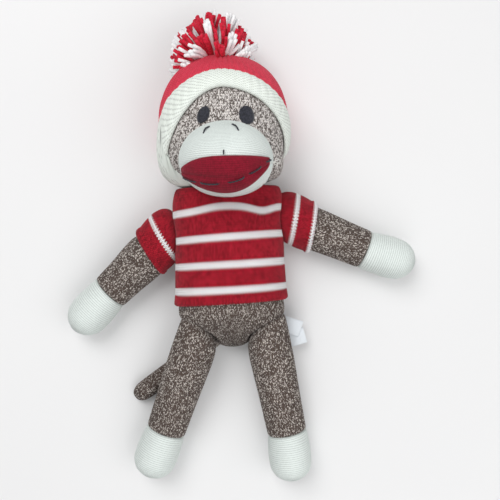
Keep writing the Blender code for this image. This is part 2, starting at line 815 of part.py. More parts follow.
def build_hat():
    """Ribbed crown and rolled brim round the head, and the yarn pompom tied on top."""
    room = loft("hat_room", offset_rows(head_rows(), hat_gap), head_sides)
    crown = hat_blank("hat_crown", hat_wall, brim_width + seam_gap, finish="red_knit")
    brim = hat_blank("hat_brim", brim_wall, 0.0, brim_width, "cream")
    for obj in (crown, brim):
        cut(obj, room)
    outside = hat_blank("hat_outside", hat_wall + seam_gap, 0.0)
    centre = neck_pivot + Vector((head_shift + pompom_shift, head_length + pompom_rise, 0))
    centre.z = pompom_radius - contact_depth
    pompom = ball("pompom", centre, pompom_radius, "yarn")
    ground = box("ground", (-overrun * 2, -overrun * 3, -overrun), (overrun * 2, overrun * 3, 0))
    inward = (head_middle - centre).normalized()
    hit, _, _, _ = surface_tree(outside).ray_cast(centre - inward * pompom_radius, inward)
    tie = stub("pompom_tie", hit, -inward, tie_radius, tie_length, "cream")
    cut(tie, outside)
    pocket = stub("tie_pocket", hit, -inward, tie_radius + seam_gap, tie_length + seam_gap)
    cut(pompom, outside, ground, pocket)


def stub(name, root, way, radius, length, finish=None):
    """A short round bar that reaches a little below its root, to be cut to the surface there."""
    builder = bmesh.new()
    bmesh.ops.create_cone(
        builder, cap_ends=True, segments=tail_sides, radius1=radius, radius2=radius, depth=length + radius)
    bmesh.ops.translate(builder, verts=builder.verts[:], vec=(0, 0, (length - radius) / 2))
    turn = UP.rotation_difference(way).to_matrix().to_4x4()
    bmesh.ops.transform(builder, verts=builder.verts[:], matrix=Matrix.Translation(root) @ turn)
    return add_object(name, builder, finish)


def build_labels():
    """Two bare sewn-in labels that stand out of the left hip's side seam."""
    half_width, _ = torso_profile(hip_along + label_above_hip)
    for name, step, turn in (("label_upper", 0.0, label_turn_upper), ("label_lower", -label_step, label_turn_lower)):
        along = hip_along + label_above_hip + step
        low = (0, -label_height / 2, 0)
        high = (label_width, label_height / 2, label_wall)
        root = half_width + seam_gap * 2 if step == 0 else hip_across + leg_radius + seat_gap
        place = torso_frame @ Matrix.Translation((root, along, label_lie + step / 10)) @ Matrix.Rotation(turn, 4, "Z")
        box(name, low, high, place, "label")


def main():
    clear_scene()
    build_torso()
    build_sweater()
    torso_side = loft("sweater_envelope", sweater_rows(seam_gap), torso_sides)
    for side in (-1, 1):
        build_arm(side, torso_side)
        build_leg(side)
    build_tail()
    build_head()
    envelope = build_muzzle()
    build_mouth()
    build_nostrils()
    build_eyes(envelope)
    build_hat()
    build_labels()


main()
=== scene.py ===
"""Sock monkey doll lying on its back: knitted cloth, yarn and thread over the doll's frame.

Sizes are in metres. The doll's head points to +Y and its face to +Z, and "left" is the doll's own
left, +X. Every knitted piece is a closed form whose surface is drawn out into real stitches.
"""

import logging
from collections.abc import Callable, Sequence
from dataclasses import dataclass
from enum import Enum
from math import cos, pi, radians, sin, tau

import bmesh
import bpy
import numpy as np
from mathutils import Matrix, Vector


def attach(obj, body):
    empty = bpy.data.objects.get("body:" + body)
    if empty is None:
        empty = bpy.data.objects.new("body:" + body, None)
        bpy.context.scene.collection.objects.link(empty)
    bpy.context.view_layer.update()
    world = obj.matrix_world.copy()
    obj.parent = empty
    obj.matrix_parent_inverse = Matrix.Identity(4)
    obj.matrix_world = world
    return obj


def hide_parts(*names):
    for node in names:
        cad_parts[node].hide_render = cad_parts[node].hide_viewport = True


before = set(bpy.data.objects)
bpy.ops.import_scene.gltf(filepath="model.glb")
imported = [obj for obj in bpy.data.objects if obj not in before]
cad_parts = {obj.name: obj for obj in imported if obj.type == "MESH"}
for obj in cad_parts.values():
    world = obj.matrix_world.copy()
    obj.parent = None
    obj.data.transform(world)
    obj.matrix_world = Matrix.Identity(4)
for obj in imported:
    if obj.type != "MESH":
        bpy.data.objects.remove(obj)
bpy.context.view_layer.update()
LOG = logging.getLogger("sock_monkey_doll")
UP = Vector((0, 0, 1))
Colour = tuple[float, float, float]
Warp = Callable[[np.ndarray, np.ndarray], np.ndarray]


class Side(Enum):
    """A side of the doll, as the doll itself names it."""

    RIGHT = -1
    LEFT = 1

    @property
    def word(self) -> str:
        """The side's name as the frame's nodes and bodies spell it."""
        return self.name.lower()


class Hold(Enum):
    """How a sheet of cloth is kept in its place on the doll."""

    STRETCHED = "stretched"
    HUNG = "hung"


def heading(turn: float) -> Vector:
    """A level unit vector, turned from +X towards +Y."""
    return Vector((cos(turn), sin(turn), 0))


def smooth_step(low: float, high: float, value: np.ndarray) -> np.ndarray:
    """Rise smoothly from 0 where the values are low to 1 where they are high."""
    share = np.clip((value - low) / (high - low), 0.0, 1.0)
    return share * share * (3.0 - 2.0 * share)


# Materials


class Graph:
    """A material's node tree, built link by link."""

    def __init__(self, name: str) -> None:
        """Start a material with its shader.

        Args:
            name: The material's name.
        """
        self.material = bpy.data.materials.new(name)
        self.material.use_nodes = True
        self.tree = self.material.node_tree
        self.shader = self.tree.nodes["Principled BSDF"]

    def add(self, kind: str, **settings: object) -> bpy.types.Node:
        """Add a node.

        Args:
            kind: The node's Blender type.
            **settings: Values of the node's own properties.

        Returns:
            The new node.
        """
        node = self.tree.nodes.new(kind)
        for key, value in settings.items():
            setattr(node, key, value)
        return node

    def feed(self, socket: bpy.types.NodeSocket, value: object) -> None:
        """Give an input a link where the value is a socket, and a constant otherwise."""
        if isinstance(value, bpy.types.NodeSocket):
            self.tree.links.new(value, socket)
        else:
            socket.default_value = value

    def math(self, operation: str, first: object, second: object = 0.0) -> bpy.types.NodeSocket:
        """Combine two numbers.

        Args:
            operation: The Math node's operation.
            first: A socket or a number.
            second: A socket or a number.

        Returns:
            The result's socket.
        """
        node = self.add("ShaderNodeMath", operation=operation)
        self.feed(node.inputs[0], first)
        self.feed(node.inputs[1], second)
        return node.outputs[0]

    def vector(self, operation: str, first: object, second: object) -> bpy.types.NodeSocket:
        """Combine two vectors.

        Args:
            operation: The Vector Math node's operation.
            first: A socket or a vector.
            second: A socket or a vector.

        Returns:
            The result's socket.
        """
        node = self.add("ShaderNodeVectorMath", operation=operation)
        self.feed(node.inputs[0], first)
        self.feed(node.inputs[1], second)
        return node.outputs[0]

    def blend(self, share: object, first: object, second: object) -> bpy.types.NodeSocket:
        """Mix two colours.

        Args:
            share: How much of the second colour shows, as a socket or a number.
            first: A colour or a socket.
            second: A colour or a socket.

        Returns:
            The mixed colour's socket.
        """
        node = self.add("ShaderNodeMix", data_type="RGBA")
        self.feed(node.inputs["Factor"], share)
        for key, value in (("A", first), ("B", second)):
            socket = [item for item in node.inputs if item.name == key and item.type == "RGBA"][0]
            self.feed(socket, (*value, 1.0) if isinstance(value, tuple) else value)
        return [item for item in node.outputs if item.type == "RGBA"][0]

    def steps(self, value: object, low: float, high: float) -> bpy.types.NodeSocket:
        """Rise from 0 to 1 between two values, smoothly.

        Args:
            value: The socket to read.
            low: Where the rise starts.
            high: Where it ends.

        Returns:
            The rise's socket.
        """
        node = self.add("ShaderNodeMapRange", interpolation_type="SMOOTHSTEP")
        self.feed(node.inputs["Value"], value)
        node.inputs["From Min"].default_value = low
        node.inputs["From Max"].default_value = high
        return node.outputs["Result"]

    def place(self) -> bpy.types.NodeSocket:
        """The point's place on the doll."""
        return self.add("ShaderNodeTexCoord").outputs["Object"]

    def stitch_place(self) -> bpy.types.NodeSocket:
        """The point's place in the knitting: stitches across, and courses along."""
        return self.add("ShaderNodeUVMap", uv_map="knit").outputs["UV"]

    def noise(self, where: object, scale: float, detail: float = 2.0) -> bpy.types.NodeSocket:
        """Read a noise pattern.

        Args:
            where: The place's socket.
            scale: Waves per unit.
            detail: Octaves above the first.

        Returns:
            The pattern's socket, from 0 to 1.
        """
        node = self.add("ShaderNodeTexNoise")
        self.feed(node.inputs["Vector"], where)
        node.inputs["Scale"].default_value = scale
        node.inputs["Detail"].default_value = detail
        return node.outputs["Fac"]

    def chance(self, where: object, per_unit: tuple[float, float, float]) -> bpy.types.NodeSocket:
        """A random number that is the same all over one cell of a grid.

        Args:
            where: The place's socket.
            per_unit: Cells per unit along each axis.

        Returns:
            The number's socket, from 0 to 1.
        """
        cell = self.vector("FLOOR", self.vector("MULTIPLY", where, per_unit), (0.0, 0.0, 0.0))
        node = self.add("ShaderNodeTexWhiteNoise", noise_dimensions="2D")
        self.feed(node.inputs["Vector"], cell)
        return node.outputs["Value"]

    def finish(
        self, colour: object, roughness: float, height: object, depth: float, sheen: float
    ) -> bpy.types.Material:
        """Join the colour and the relief to the shader.

        Args:
            colour: The colour's socket.
            roughness: The surface's roughness.
            height: The relief's socket, from 0 to 1.
            depth: The relief's depth in metres.
            sheen: How much the fibres catch the light at the edges.

        Returns:
            The finished material.
        """
        self.feed(self.shader.inputs["Base Color"], colour)
        self.shader.inputs["Roughness"].default_value = roughness
        self.shader.inputs["Specular IOR Level"].default_value = 0.2
        self.shader.inputs["Sheen Weight"].default_value = sheen
        self.shader.inputs["Sheen Roughness"].default_value = 0.6
        bump = self.add("ShaderNodeBump")
        bump.inputs["Strength"].default_value = 1.0
        bump.inputs["Distance"].default_value = depth
        self.feed(bump.inputs["Height"], height)
        self.feed(self.shader.inputs["Normal"], bump.outputs["Normal"])
        return self.material


@dataclass(frozen=True)
class KnitFinish:
    """Plain knitted yarn: one colour that varies from leg to leg of each stitch."""

    name: str
    colour: Colour
    shade: Colour
    variation: float = 0.5
    sheen: float = 0.08
    # gap: how strongly painted shade darkens the holes between stitches.
    gap: float = 0.5

    def yarn_height(self, graph: Graph) -> bpy.types.NodeSocket:
        """The fine twist of the yarn along each leg of a stitch."""
        where = graph.vector("MULTIPLY", graph.stitch_place(), (7.0, 3.0, 1.0))
        return graph.noise(where, 1.6, 3.0)

    def hole_shade_mask(self, graph: Graph) -> bpy.types.NodeSocket:
        """Where the cloth lies open between stitches, from 0 on the yarn to 1 in a hole: the mask of the painted
        shade in the holes.
        """
        split = graph.add("ShaderNodeSeparateXYZ")
        graph.feed(split.inputs[0], graph.stitch_place())
        column = graph.math("COSINE", graph.math("MULTIPLY", split.outputs["X"], tau))
        course = graph.math("COSINE", graph.math("MULTIPLY", split.outputs["Y"], tau))
        return graph.steps(graph.math("MULTIPLY", column, course), 0.0, 0.9)

    def colouring(self, graph: Graph) -> bpy.types.NodeSocket:
        """The colour, a little different for each leg and paler or darker in soft patches."""
        leg = graph.chance(graph.stitch_place(), (2.0, 1.0, 1.0))
        patch = graph.noise(graph.place(), 90.0, 2.0)
        share = graph.math("MULTIPLY", graph.math("ADD", leg, patch), self.variation)
        return graph.blend(share, self.colour, self.shade)

    def material(self) -> bpy.types.Material:
        """The finish as a Blender material, with painted shade darkening the holes between stitches."""
        graph = Graph(self.name)
        # Painted shade: the holes between stitches are darkened towards a third of the shade colour.
        painted_hole_shade = tuple(part * 0.3 for part in self.shade)
        colour = graph.blend(graph.math("MULTIPLY", self.hole_shade_mask(graph), self.gap), self.colouring(graph), painted_hole_shade)
        return graph.finish(colour, 0.95, self.yarn_height(graph), 0.00012, self.sheen)


@dataclass(frozen=True)
class MarlFinish(KnitFinish):
    """Ragg yarn: a dark and an off-white ply twisted together, so that every stitch is flecked."""

    fleck: Colour = (0.64, 0.59, 0.54)
    fleck_share: float = 0.15

    def colouring(self, graph: Graph) -> bpy.types.NodeSocket:
        """Dark wool with flecks of the pale ply, a few to each stitch."""
        where = graph.stitch_place()
        leg = graph.chance(where, (2.0, 1.0, 1.0))
        ply = graph.noise(graph.vector("MULTIPLY", where, (3.0, 1.5, 1.0)), 1.0, 1.0)
        mixed = graph.math("ADD", graph.math("MULTIPLY", leg, 0.22), ply)
        low = 0.70 - self.fleck_share * 0.2
        flecked = graph.steps(mixed, low, low + 0.08)
        dark = graph.blend(graph.noise(graph.place(), 160.0, 2.0), self.colour, self.shade)
        return graph.blend(flecked, dark, self.fleck)


@dataclass(frozen=True)
class StripedFinish(KnitFinish):
    """Knitting in one colour with bands of another, which change on whole courses."""

    stripe: Colour = (0.93, 0.92, 0.93)
    bands: tuple[tuple[float, float], ...] = ()

    def colouring(self, graph: Graph) -> bpy.types.NodeSocket:
        """The ground colour, with each band laid over it between its first and last course."""
        ground = KnitFinish.colouring(self, graph)
        split = graph.add("ShaderNodeSeparateXYZ")
        graph.feed(split.inputs[0], graph.stitch_place())
        course = split.outputs["Y"]
        leg = graph.chance(graph.stitch_place(), (2.0, 1.0, 1.0))
        pale = graph.blend(leg, self.stripe, tuple(part * 0.88 for part in self.stripe))
        for first, last in self.bands:
            inside = graph.math(
                "MULTIPLY", graph.math("GREATER_THAN", course, first), graph.math("LESS_THAN", course, last))
            ground = graph.blend(inside, ground, pale)
        return ground


@dataclass(frozen=True)
class ThreadFinish:
    """Thread or loose yarn, with its plies' twist as fine diagonal lines."""

    name: str
    colour: Colour
    shade: Colour
    roughness: float = 0.8
    sheen: float = 0.2
    grain: float = 900.0

    def material(self) -> bpy.types.Material:
        """The finish as a Blender material."""
        graph = Graph(self.name)
        fibre = graph.noise(graph.place(), self.grain, 3.0)
        colour = graph.blend(graph.steps(fibre, 0.35, 0.65), self.colour, self.shade)
        return graph.finish(colour, self.roughness, fibre, 0.0001, self.sheen)


@dataclass(frozen=True)
class LabelFinish:
    """Pale woven label cloth with a fine even weave."""

    name: str
    colour: Colour
    shade: Colour
    threads: float = 3200.0

    def material(self) -> bpy.types.Material:
        """The finish as a Blender material."""
        graph = Graph(self.name)
        weave = graph.add("ShaderNodeTexChecker")
        graph.feed(weave.inputs["Vector"], graph.place())
        weave.inputs["Scale"].default_value = self.threads
        colour = graph.blend(graph.noise(graph.place(), 240.0), self.colour, self.shade)
        return graph.finish(colour, 0.7, weave.outputs["Fac"], 0.00004, 0.1)


@dataclass(frozen=True)
class FloorFinish:
    """A plain pale floor, a touch uneven so that it isn't one flat colour."""

    name: str
    colour: Colour
    shade: Colour

    def material(self) -> bpy.types.Material:
        """The finish as a Blender material."""
        graph = Graph(self.name)
        cloud = graph.noise(graph.place(), 4.0)
        colour = graph.blend(cloud, self.colour, self.shade)
        return graph.finish(colour, 0.9, graph.noise(graph.place(), 220.0), 0.00003, 0.0)


# The body's marl and the head's marl are the same wool. The copy on the body, limbs and tail is darker with painted
# shade, and the head's copy is paler with painted light and more of the pale ply.
SHADED_MARL = MarlFinish("marled_knit_painted_shade", (0.062, 0.044, 0.038), (0.12, 0.088, 0.074))
LIT_MARL = MarlFinish(
    "marled_knit_painted_light", (0.085, 0.070, 0.064), (0.17, 0.14, 0.125), fleck=(0.76, 0.72, 0.69), fleck_share=0.65)
# gap sets how dark the painted shade in the holes between stitches is.
CREAM = KnitFinish("cream_sock_knit", (0.84, 0.90, 0.87), (0.73, 0.79, 0.76), 0.45, gap=0.6)
SWEATER_RED: Colour = (0.60, 0.014, 0.036)
SWEATER_SHADE: Colour = (0.20, 0.004, 0.012)
HAT_RED = KnitFinish("hat_rib_knit", (0.80, 0.055, 0.105), (0.60, 0.028, 0.060), 0.5)
LIP = KnitFinish("mouth_knit", (0.33, 0.008, 0.030), (0.17, 0.004, 0.014), 0.5)
BRIM = KnitFinish("brim_rib_knit", (0.87, 0.92, 0.87), (0.76, 0.81, 0.74), 0.45)
BLACK = ThreadFinish("black_thread", (0.010, 0.011, 0.018), (0.028, 0.030, 0.045), 0.6)
WHITE_THREAD = ThreadFinish("white_thread", (0.80, 0.80, 0.76), (0.66, 0.66, 0.62), 0.85)
RED_YARN = ThreadFinish("red_yarn", (0.70, 0.018, 0.050), (0.44, 0.008, 0.026), 0.9, 0.06, 700.0)
WHITE_YARN = ThreadFinish("white_yarn", (0.92, 0.92, 0.92), (0.80, 0.79, 0.81), 0.9, 0.1, 700.0)
LABEL = LabelFinish("label_cloth", (0.80, 0.84, 0.88), (0.74, 0.78, 0.82))
FLOOR = FloorFinish("floor", (0.80, 0.80, 0.80), (0.76, 0.76, 0.765))


# Soft forms


@dataclass(frozen=True)
class Ring:
    """One ring of a soft form: an ellipse that stands across the form's path, flat on its floor."""

    centre: Vector
    side: Vector
    half_width: float
    half_height: float
    floor: float = -1.0
    power: float = 1.0


class SoftForm:
    """A smooth surface through a run of rings, read by its length along and its angle round."""

    SOFTNESS = 0.0009

    def __init__(self, rings: Sequence[Ring]) -> None:
        """Lay a smooth curve through every value of the rings.

        Args:
            rings: The rings in order along the form.
        """
        self.table = np.array([
            (*ring.centre, ring.side.x, ring.side.y, ring.half_width, ring.half_height, ring.floor, ring.power)
            for ring in rings
        ])
        path = np.linalg.norm(np.diff(self.table[:, :3], axis=0), axis=1)
        swell = np.diff((self.table[:, 5] + self.table[:, 6]) / 2)
        self.places = np.concatenate(([0.0], np.cumsum(np.hypot(path, swell))))
        self.slopes = self._slopes()

    def _slopes(self) -> np.ndarray:
        """The slope of every value at every ring, flat where a value turns, so that none overshoots."""
        step = np.diff(self.places)[:, None]
        rise = np.diff(self.table, axis=0) / step
        slopes = np.zeros_like(self.table)
        slopes[0], slopes[-1] = rise[0], rise[-1]
        before, after = rise[:-1], rise[1:]
        weight_a, weight_b = 2 * step[1:] + step[:-1], step[1:] + 2 * step[:-1]
        same = before * after > 0
        safe_before, safe_after = np.where(same, before, 1.0), np.where(same, after, 1.0)
        middle = (weight_a + weight_b) / (weight_a / safe_before + weight_b / safe_after)
        slopes[1:-1] = np.where(same, middle, 0.0)
        return slopes

    @property
    def length(self) -> float:
        """The form's length along its surface."""
        return float(self.places[-1])

    def values(self, place: np.ndarray) -> np.ndarray:
        """Read the rings' values between the rings.

        Args:
            place: Lengths along the form.

        Returns:
            The nine values of a ring, last axis, at each place.
        """
        place = np.clip(place, 0.0, self.length)
        index = np.clip(np.searchsorted(self.places, place, side="right") - 1, 0, len(self.places) - 2)
        width = self.places[index + 1] - self.places[index]
        share = ((place - self.places[index]) / width)[..., None]
        width = width[..., None]
        squared, cubed = share ** 2, share ** 3
        return (
            (2 * cubed - 3 * squared + 1) * self.table[index]
            + (cubed - 2 * squared + share) * width * self.slopes[index]
            + (3 * squared - 2 * cubed) * self.table[index + 1]
            + (cubed - squared) * width * self.slopes[index + 1]
        )

    def section(self, values: np.ndarray, angle: np.ndarray) -> tuple[np.ndarray, np.ndarray]:
        """Read one ring's outline.

        Args:
            values: The ring's values, or an array of them.
            angle: Angles round the ring.

        Returns:
            How far across and how high each point is.
        """
        power = values[..., 8]
        across = np.sign(np.cos(angle)) * np.abs(np.cos(angle)) ** power * values[..., 5]
        up = np.sign(np.sin(angle)) * np.abs(np.sin(angle)) ** power * values[..., 6] + values[..., 2]
        gap = up - values[..., 7]
        up = values[..., 7] + (gap + np.sqrt(gap * gap + self.SOFTNESS ** 2)) / 2
        return across, up

    def angles(self, place: np.ndarray, turn: np.ndarray) -> np.ndarray:
        """Share the angles out so that points stand evenly along each ring's outline.

        Args:
            place: Lengths along the form, one for each row.
            turn: Shares of a full turn, one for each column, from the underside.

        Returns:
            An angle for each row and column.
        """
        fine = np.linspace(-pi / 2, 1.5 * pi, 257)
        rows = []
        for values in self.values(place):
            across, up = self.section(values, fine)
            steps = np.hypot(np.diff(across), np.diff(up)) + 1e-9
            length = np.concatenate(([0.0], np.cumsum(steps)))
            rows.append(np.interp(turn, length / length[-1], fine))
        return np.array(rows)

    def points(self, place: np.ndarray, angle: np.ndarray) -> np.ndarray:
        """Read the surface.

        Args:
            place: Length along the form, for each row and column.
            angle: Angle round the form, for each row and column.

        Returns:
            The points, last axis x, y and z.
        """
        values = self.values(place)
        across, up = self.section(values, angle)
        return np.stack(
            (values[..., 0] + values[..., 3] * across, values[..., 1] + values[..., 4] * across, up), axis=-1)


def surface_normals(points: np.ndarray, wrapped: bool = True) -> np.ndarray:
    """The outward normals of a grid of points whose columns run round a form.

    Args:
        points: Rows and columns of points.
        wrapped: Whether the last column is the first again.

    Returns:
        A unit vector for each point.
    """
    along = np.gradient(points, axis=0)
    if wrapped:
        body = points[:, :-1]
        across = np.roll(body, -1, axis=1) - np.roll(body, 1, axis=1)
        normal = np.cross(along, np.concatenate((across, across[:, :1]), axis=1))
    else:
        normal = np.cross(np.gradient(points, axis=1), along)
    return normal / (np.linalg.norm(normal, axis=-1, keepdims=True) + 1e-12)


@dataclass(frozen=True)
class Gauge:
    """The size and the relief of a knitted cloth's stitches."""

    wale: float
    course: float
    relief: float = 0.00026
    slant: float = 0.75
    per_wale: int = 4
    per_course: int = 2

    def columns(self, wales: int) -> np.ndarray:
        """The stitch coordinate of each column of points, for a number of wales."""
        return np.arange(wales * self.per_wale + 1) / self.per_wale

    def lean(self, column: np.ndarray) -> np.ndarray:
        """How far each column's points run ahead, in courses, so that each stitch is a V."""
        inside = np.abs((column % 1.0) * 2 - 1)
        return self.slant * inside

    def height(self, column: np.ndarray, course: np.ndarray) -> np.ndarray:
        """The relief of the stitches.

        Args:
            column: Stitch coordinates across.
            course: Stitch coordinates along.

        Returns:
            Heights in metres: two raised legs to each wale, with a dip between one stitch and the next.
        """
        legs = 0.5 - 0.5 * np.cos(column * tau * 2)
        edge = 0.5 + 0.5 * np.cos(column * tau)
        bead = 0.3 * legs * np.cos(course * tau)
        return self.relief * (2.0 * legs - 1.0 - 0.5 * edge * (1 - legs) + bead)


@dataclass(frozen=True)
class RibGauge(Gauge):
    """The gauge of a ribbed cloth, whose every second wale sinks to the back."""

    rib: float = 0.0005

    def height(self, column: np.ndarray, course: np.ndarray) -> np.ndarray:
        """The relief of the stitches on top of the rounded ribs."""
        return Gauge.height(self, column, course) + self.rib * np.cos(column * tau / 2 + pi)


SOCK = Gauge(0.0019, 0.0016)
FINE_SOCK = Gauge(0.0017, 0.0014, 0.00020)
SWEATER = Gauge(0.0021, 0.00146, 0.00030, 1.3)
HAT_RIB = RibGauge(0.0021, 0.0018, 0.00024, rib=0.00035)
BRIM_RIB = RibGauge(0.0019, 0.0016, 0.00022, rib=0.0002)


def grid_object(
    name: str, points: np.ndarray, places: np.ndarray, material: bpy.types.Material, outward: bool = True
) -> bpy.types.Object:
    """Make an object of a grid, moved to its form, with its seams and poles closed.

    Args:
        name: The object's name.
        points: Rows and columns of points.
        places: Stitch coordinates of the points, last axis across and along.
        material: The finish.
        outward: Whether the normals are to be turned outwards, as on a closed form.

    Returns:
        The finished object.
    """
    rows, columns = points.shape[:2]
    mesh = bpy.data.meshes.new(name)
    builder = bmesh.new()
    bmesh.ops.create_grid(builder, x_segments=columns - 1, y_segments=rows - 1, size=1.0)
    builder.to_mesh(mesh)
    builder.free()
    flat = np.empty(len(mesh.vertices) * 3)
    mesh.vertices.foreach_get("co", flat)
    flat = flat.reshape(-1, 3)
    column = np.rint((flat[:, 0] + 1) / 2 * (columns - 1)).astype(int)
    row = np.rint((flat[:, 1] + 1) / 2 * (rows - 1)).astype(int)
    mesh.vertices.foreach_set("co", points[row, column].ravel())
    corner = np.empty(len(mesh.loops), dtype=int)
    mesh.loops.foreach_get("vertex_index", corner)
    layer = mesh.uv_layers.new(name="knit")
    layer.data.foreach_set("uv", places[row[corner], column[corner]].ravel())
    builder = bmesh.new()
    builder.from_mesh(mesh)
    bmesh.ops.remove_doubles(builder, verts=builder.verts[:], dist=0.000002)
    bmesh.ops.dissolve_degenerate(builder, edges=builder.edges[:], dist=0.000001)
    if outward:
        bmesh.ops.recalc_face_normals(builder, faces=builder.faces[:])
    builder.to_mesh(mesh)
    builder.free()
    return show(name, mesh, material)


def show(name: str, mesh: bpy.types.Mesh, *materials: bpy.types.Material) -> bpy.types.Object:
    """Put a finished mesh in the scene.

    Args:
        name: The object's name.
        mesh: The mesh, in its place on the doll.
        *materials: The finishes in slot order.

    Returns:
        The new object.
    """
    mesh.name = name
    if not mesh.materials:
        for material in materials:
            mesh.materials.append(material)
    mesh.shade_smooth()
    obj = bpy.data.objects.new(name, mesh)
    bpy.context.scene.collection.objects.link(obj)
    LOG.info("%s: %d faces", name, len(mesh.polygons))
    return obj


@dataclass
class Knitting:
    """A soft form drawn out into stitches."""

    form: SoftForm
    gauge: Gauge
    wales: int
    plain: tuple[tuple[float, float], ...] = ()
    fade: float = 0.006

    def rows(self, first: float, last: float) -> np.ndarray:
        """The length along the form of every row of points, few where the cloth is out of sight.

        Args:
            first: Where the rows start.
            last: Where they end.

        Returns:
            The lengths in order.
        """
        step = self.gauge.course / self.gauge.per_course
        places = [first]
        while places[-1] < last - step * 0.5:
            here = places[-1]
            coarse = any(low <= here and here + step * 6 <= high for low, high in self.plain)
            places.append(here + step * (6 if coarse else 1))
        places[-1] = last
        return np.array(places)

    def stitched(self, place: np.ndarray) -> np.ndarray:
        """How much of the stitches' relief shows in each row: none out of sight and at a pole."""
        share = np.minimum(
            smooth_step(0.0, self.fade, place), smooth_step(0.0, self.fade, self.form.length - place))
        for low, high in self.plain:
            inside = np.minimum(smooth_step(low, low + 0.002, place), 1 - smooth_step(high - 0.002, high, place))
            share = share * (1 - inside)
        return share

    def grid(
        self, press: Callable[[np.ndarray], np.ndarray] | None = None, warp: Warp | None = None
    ) -> tuple[np.ndarray, np.ndarray]:
        """Lay the stitches over the whole form.

        Args:
            press: Moves the bare surface's points, as where a neighbour presses into it.
            warp: Gives each point's own shift along the form.

        Returns:
            The points and their stitch coordinates.
        """
        place = self.rows(0.0, self.form.length)
        column = self.gauge.columns(self.wales)
        angle = self.form.angles(place, column / self.wales)
        shown = self.stitched(place)[:, None]
        course = np.repeat((place / self.gauge.course)[:, None], len(column), axis=1)
        across = np.repeat(column[None, :], len(place), axis=0)
        along = place[:, None] + shown * self.gauge.course * (self.gauge.lean(across) - self.gauge.slant / 2)
        if warp is not None:
            along = along + warp(place[:, None], angle) * shown
        along[0], along[-1] = 0.0, self.form.length
        points = self.form.points(np.clip(along, 0.0, self.form.length), angle)
        if press is not None:
            points = press(points)
        normals = surface_normals(points)
        points = points + normals * (shown * self.gauge.height(across, course))[..., None]
        for row in (0, -1):
            points[row] = points[row].mean(axis=0)
        points[:, -1] = points[:, 0]
        return points, np.stack((across, course), axis=-1)


def thread_object(
    name: str, runs: Sequence[Sequence[Vector]], radius: float, materials: Sequence[bpy.types.Material],
    slots: Sequence[int] | None = None, sides: int = 1,
) -> bpy.types.Object:
    """Make threads as closed round tubes along their runs.

    Args:
        name: The object's name.
        runs: The points that each thread follows.
        radius: The thread's radius.
        materials: The finishes.
        slots: The finish of each run, by its place in materials.
        sides: How round the tubes are.

    Returns:
        One object that holds all the threads.
    """
    curve = bpy.data.curves.new(name, "CURVE")
    curve.dimensions = "3D"
    curve.bevel_depth = radius
    curve.bevel_resolution = sides
    curve.use_fill_caps = True
    for material in materials:
        curve.materials.append(material)
    for index, run in enumerate(runs):
        spline = curve.splines.new("POLY")
        spline.points.add(len(run) - 1)
        spline.points.foreach_set("co", [value for point in run for value in (*point, 1.0)])
        spline.material_index = slots[index] if slots else 0
    guide = bpy.data.objects.new(name + "_runs", curve)
    bpy.context.scene.collection.objects.link(guide)
    graph = bpy.context.evaluated_depsgraph_get()
    mesh = bpy.data.meshes.new_from_object(guide.evaluated_get(graph))
    bpy.data.objects.remove(guide)
    builder = bmesh.new()
    builder.from_mesh(mesh)
    bmesh.ops.remove_doubles(builder, verts=builder.verts[:], dist=radius / 100)
    bmesh.ops.recalc_face_normals(builder, faces=builder.faces[:])
    builder.to_mesh(mesh)
    builder.free()
    return show(name, mesh, *materials)


def smooth_run(points: Sequence[Vector], steps: int) -> list[Vector]:
    """Draw a smooth curve through points.

    Args:
        points: The points to pass through.
        steps: How many pieces to cut each stretch into.

    Returns:
        The points along the curve.
    """
    run = []
    for index in range(len(points) - 1):
        before = points[max(0, index - 1)]
        start, end = points[index], points[index + 1]
        after = points[min(len(points) - 1, index + 2)]
        for step in range(steps):
            share = step / steps
            run.append(0.5 * (
                2 * start + (end - before) * share + (2 * before - 5 * start + 4 * end - after) * share ** 2
                + (3 * start - before - 3 * end + after) * share ** 3))
    run.append(points[-1].copy())
    return run


# The doll's own frame


@dataclass(frozen=True)
class TorsoFrame:
    """The torso's place: the middle of the chest, and how far the doll leans."""

    middle: Vector = Vector((-0.008, 0.005, 0))
    lean: float = radians(2.0)
    above: float = 0.0365
    below: float = 0.071
    half_width: float = 0.0352
    depth: float = 0.0428
    neck_height: float = 0.021

    @property
    def across(self) -> Vector:
        """The level direction across the torso, towards the doll's left."""
        return heading(self.lean)

    @property
    def along(self) -> Vector:
        """The level direction along the torso, towards the head."""
        return heading(self.lean + pi / 2)

    def at(self, across: float, along: float, height: float) -> Vector:
        """A point from its place across and along the torso and its height over the floor."""
        return self.middle + self.across * across + self.along * along + UP * height

    @property
    def neck(self) -> Vector:
        """The joint of the neck."""
        return self.at(0, self.above, self.neck_height)

    def shoulder(self, side: Side) -> Vector:
        """The joint of a shoulder."""
        rise = 0.014 if side is Side.LEFT else 0.0045
        return self.at(side.value * 0.044592, rise, 0.0175)

    def hip(self, side: Side) -> Vector:
        """The joint of a hip."""
        return self.at(side.value * 0.0232, -0.062, 0.022)


TORSO = TorsoFrame()
HIP_LEAN = 0.55
LEG_SPLAYS = {Side.RIGHT: 19.4, Side.LEFT: 11.6}
ROOT_TURNS = tuple(radians(degrees) for degrees in (-89, -72, -50, -31, -14, 0))


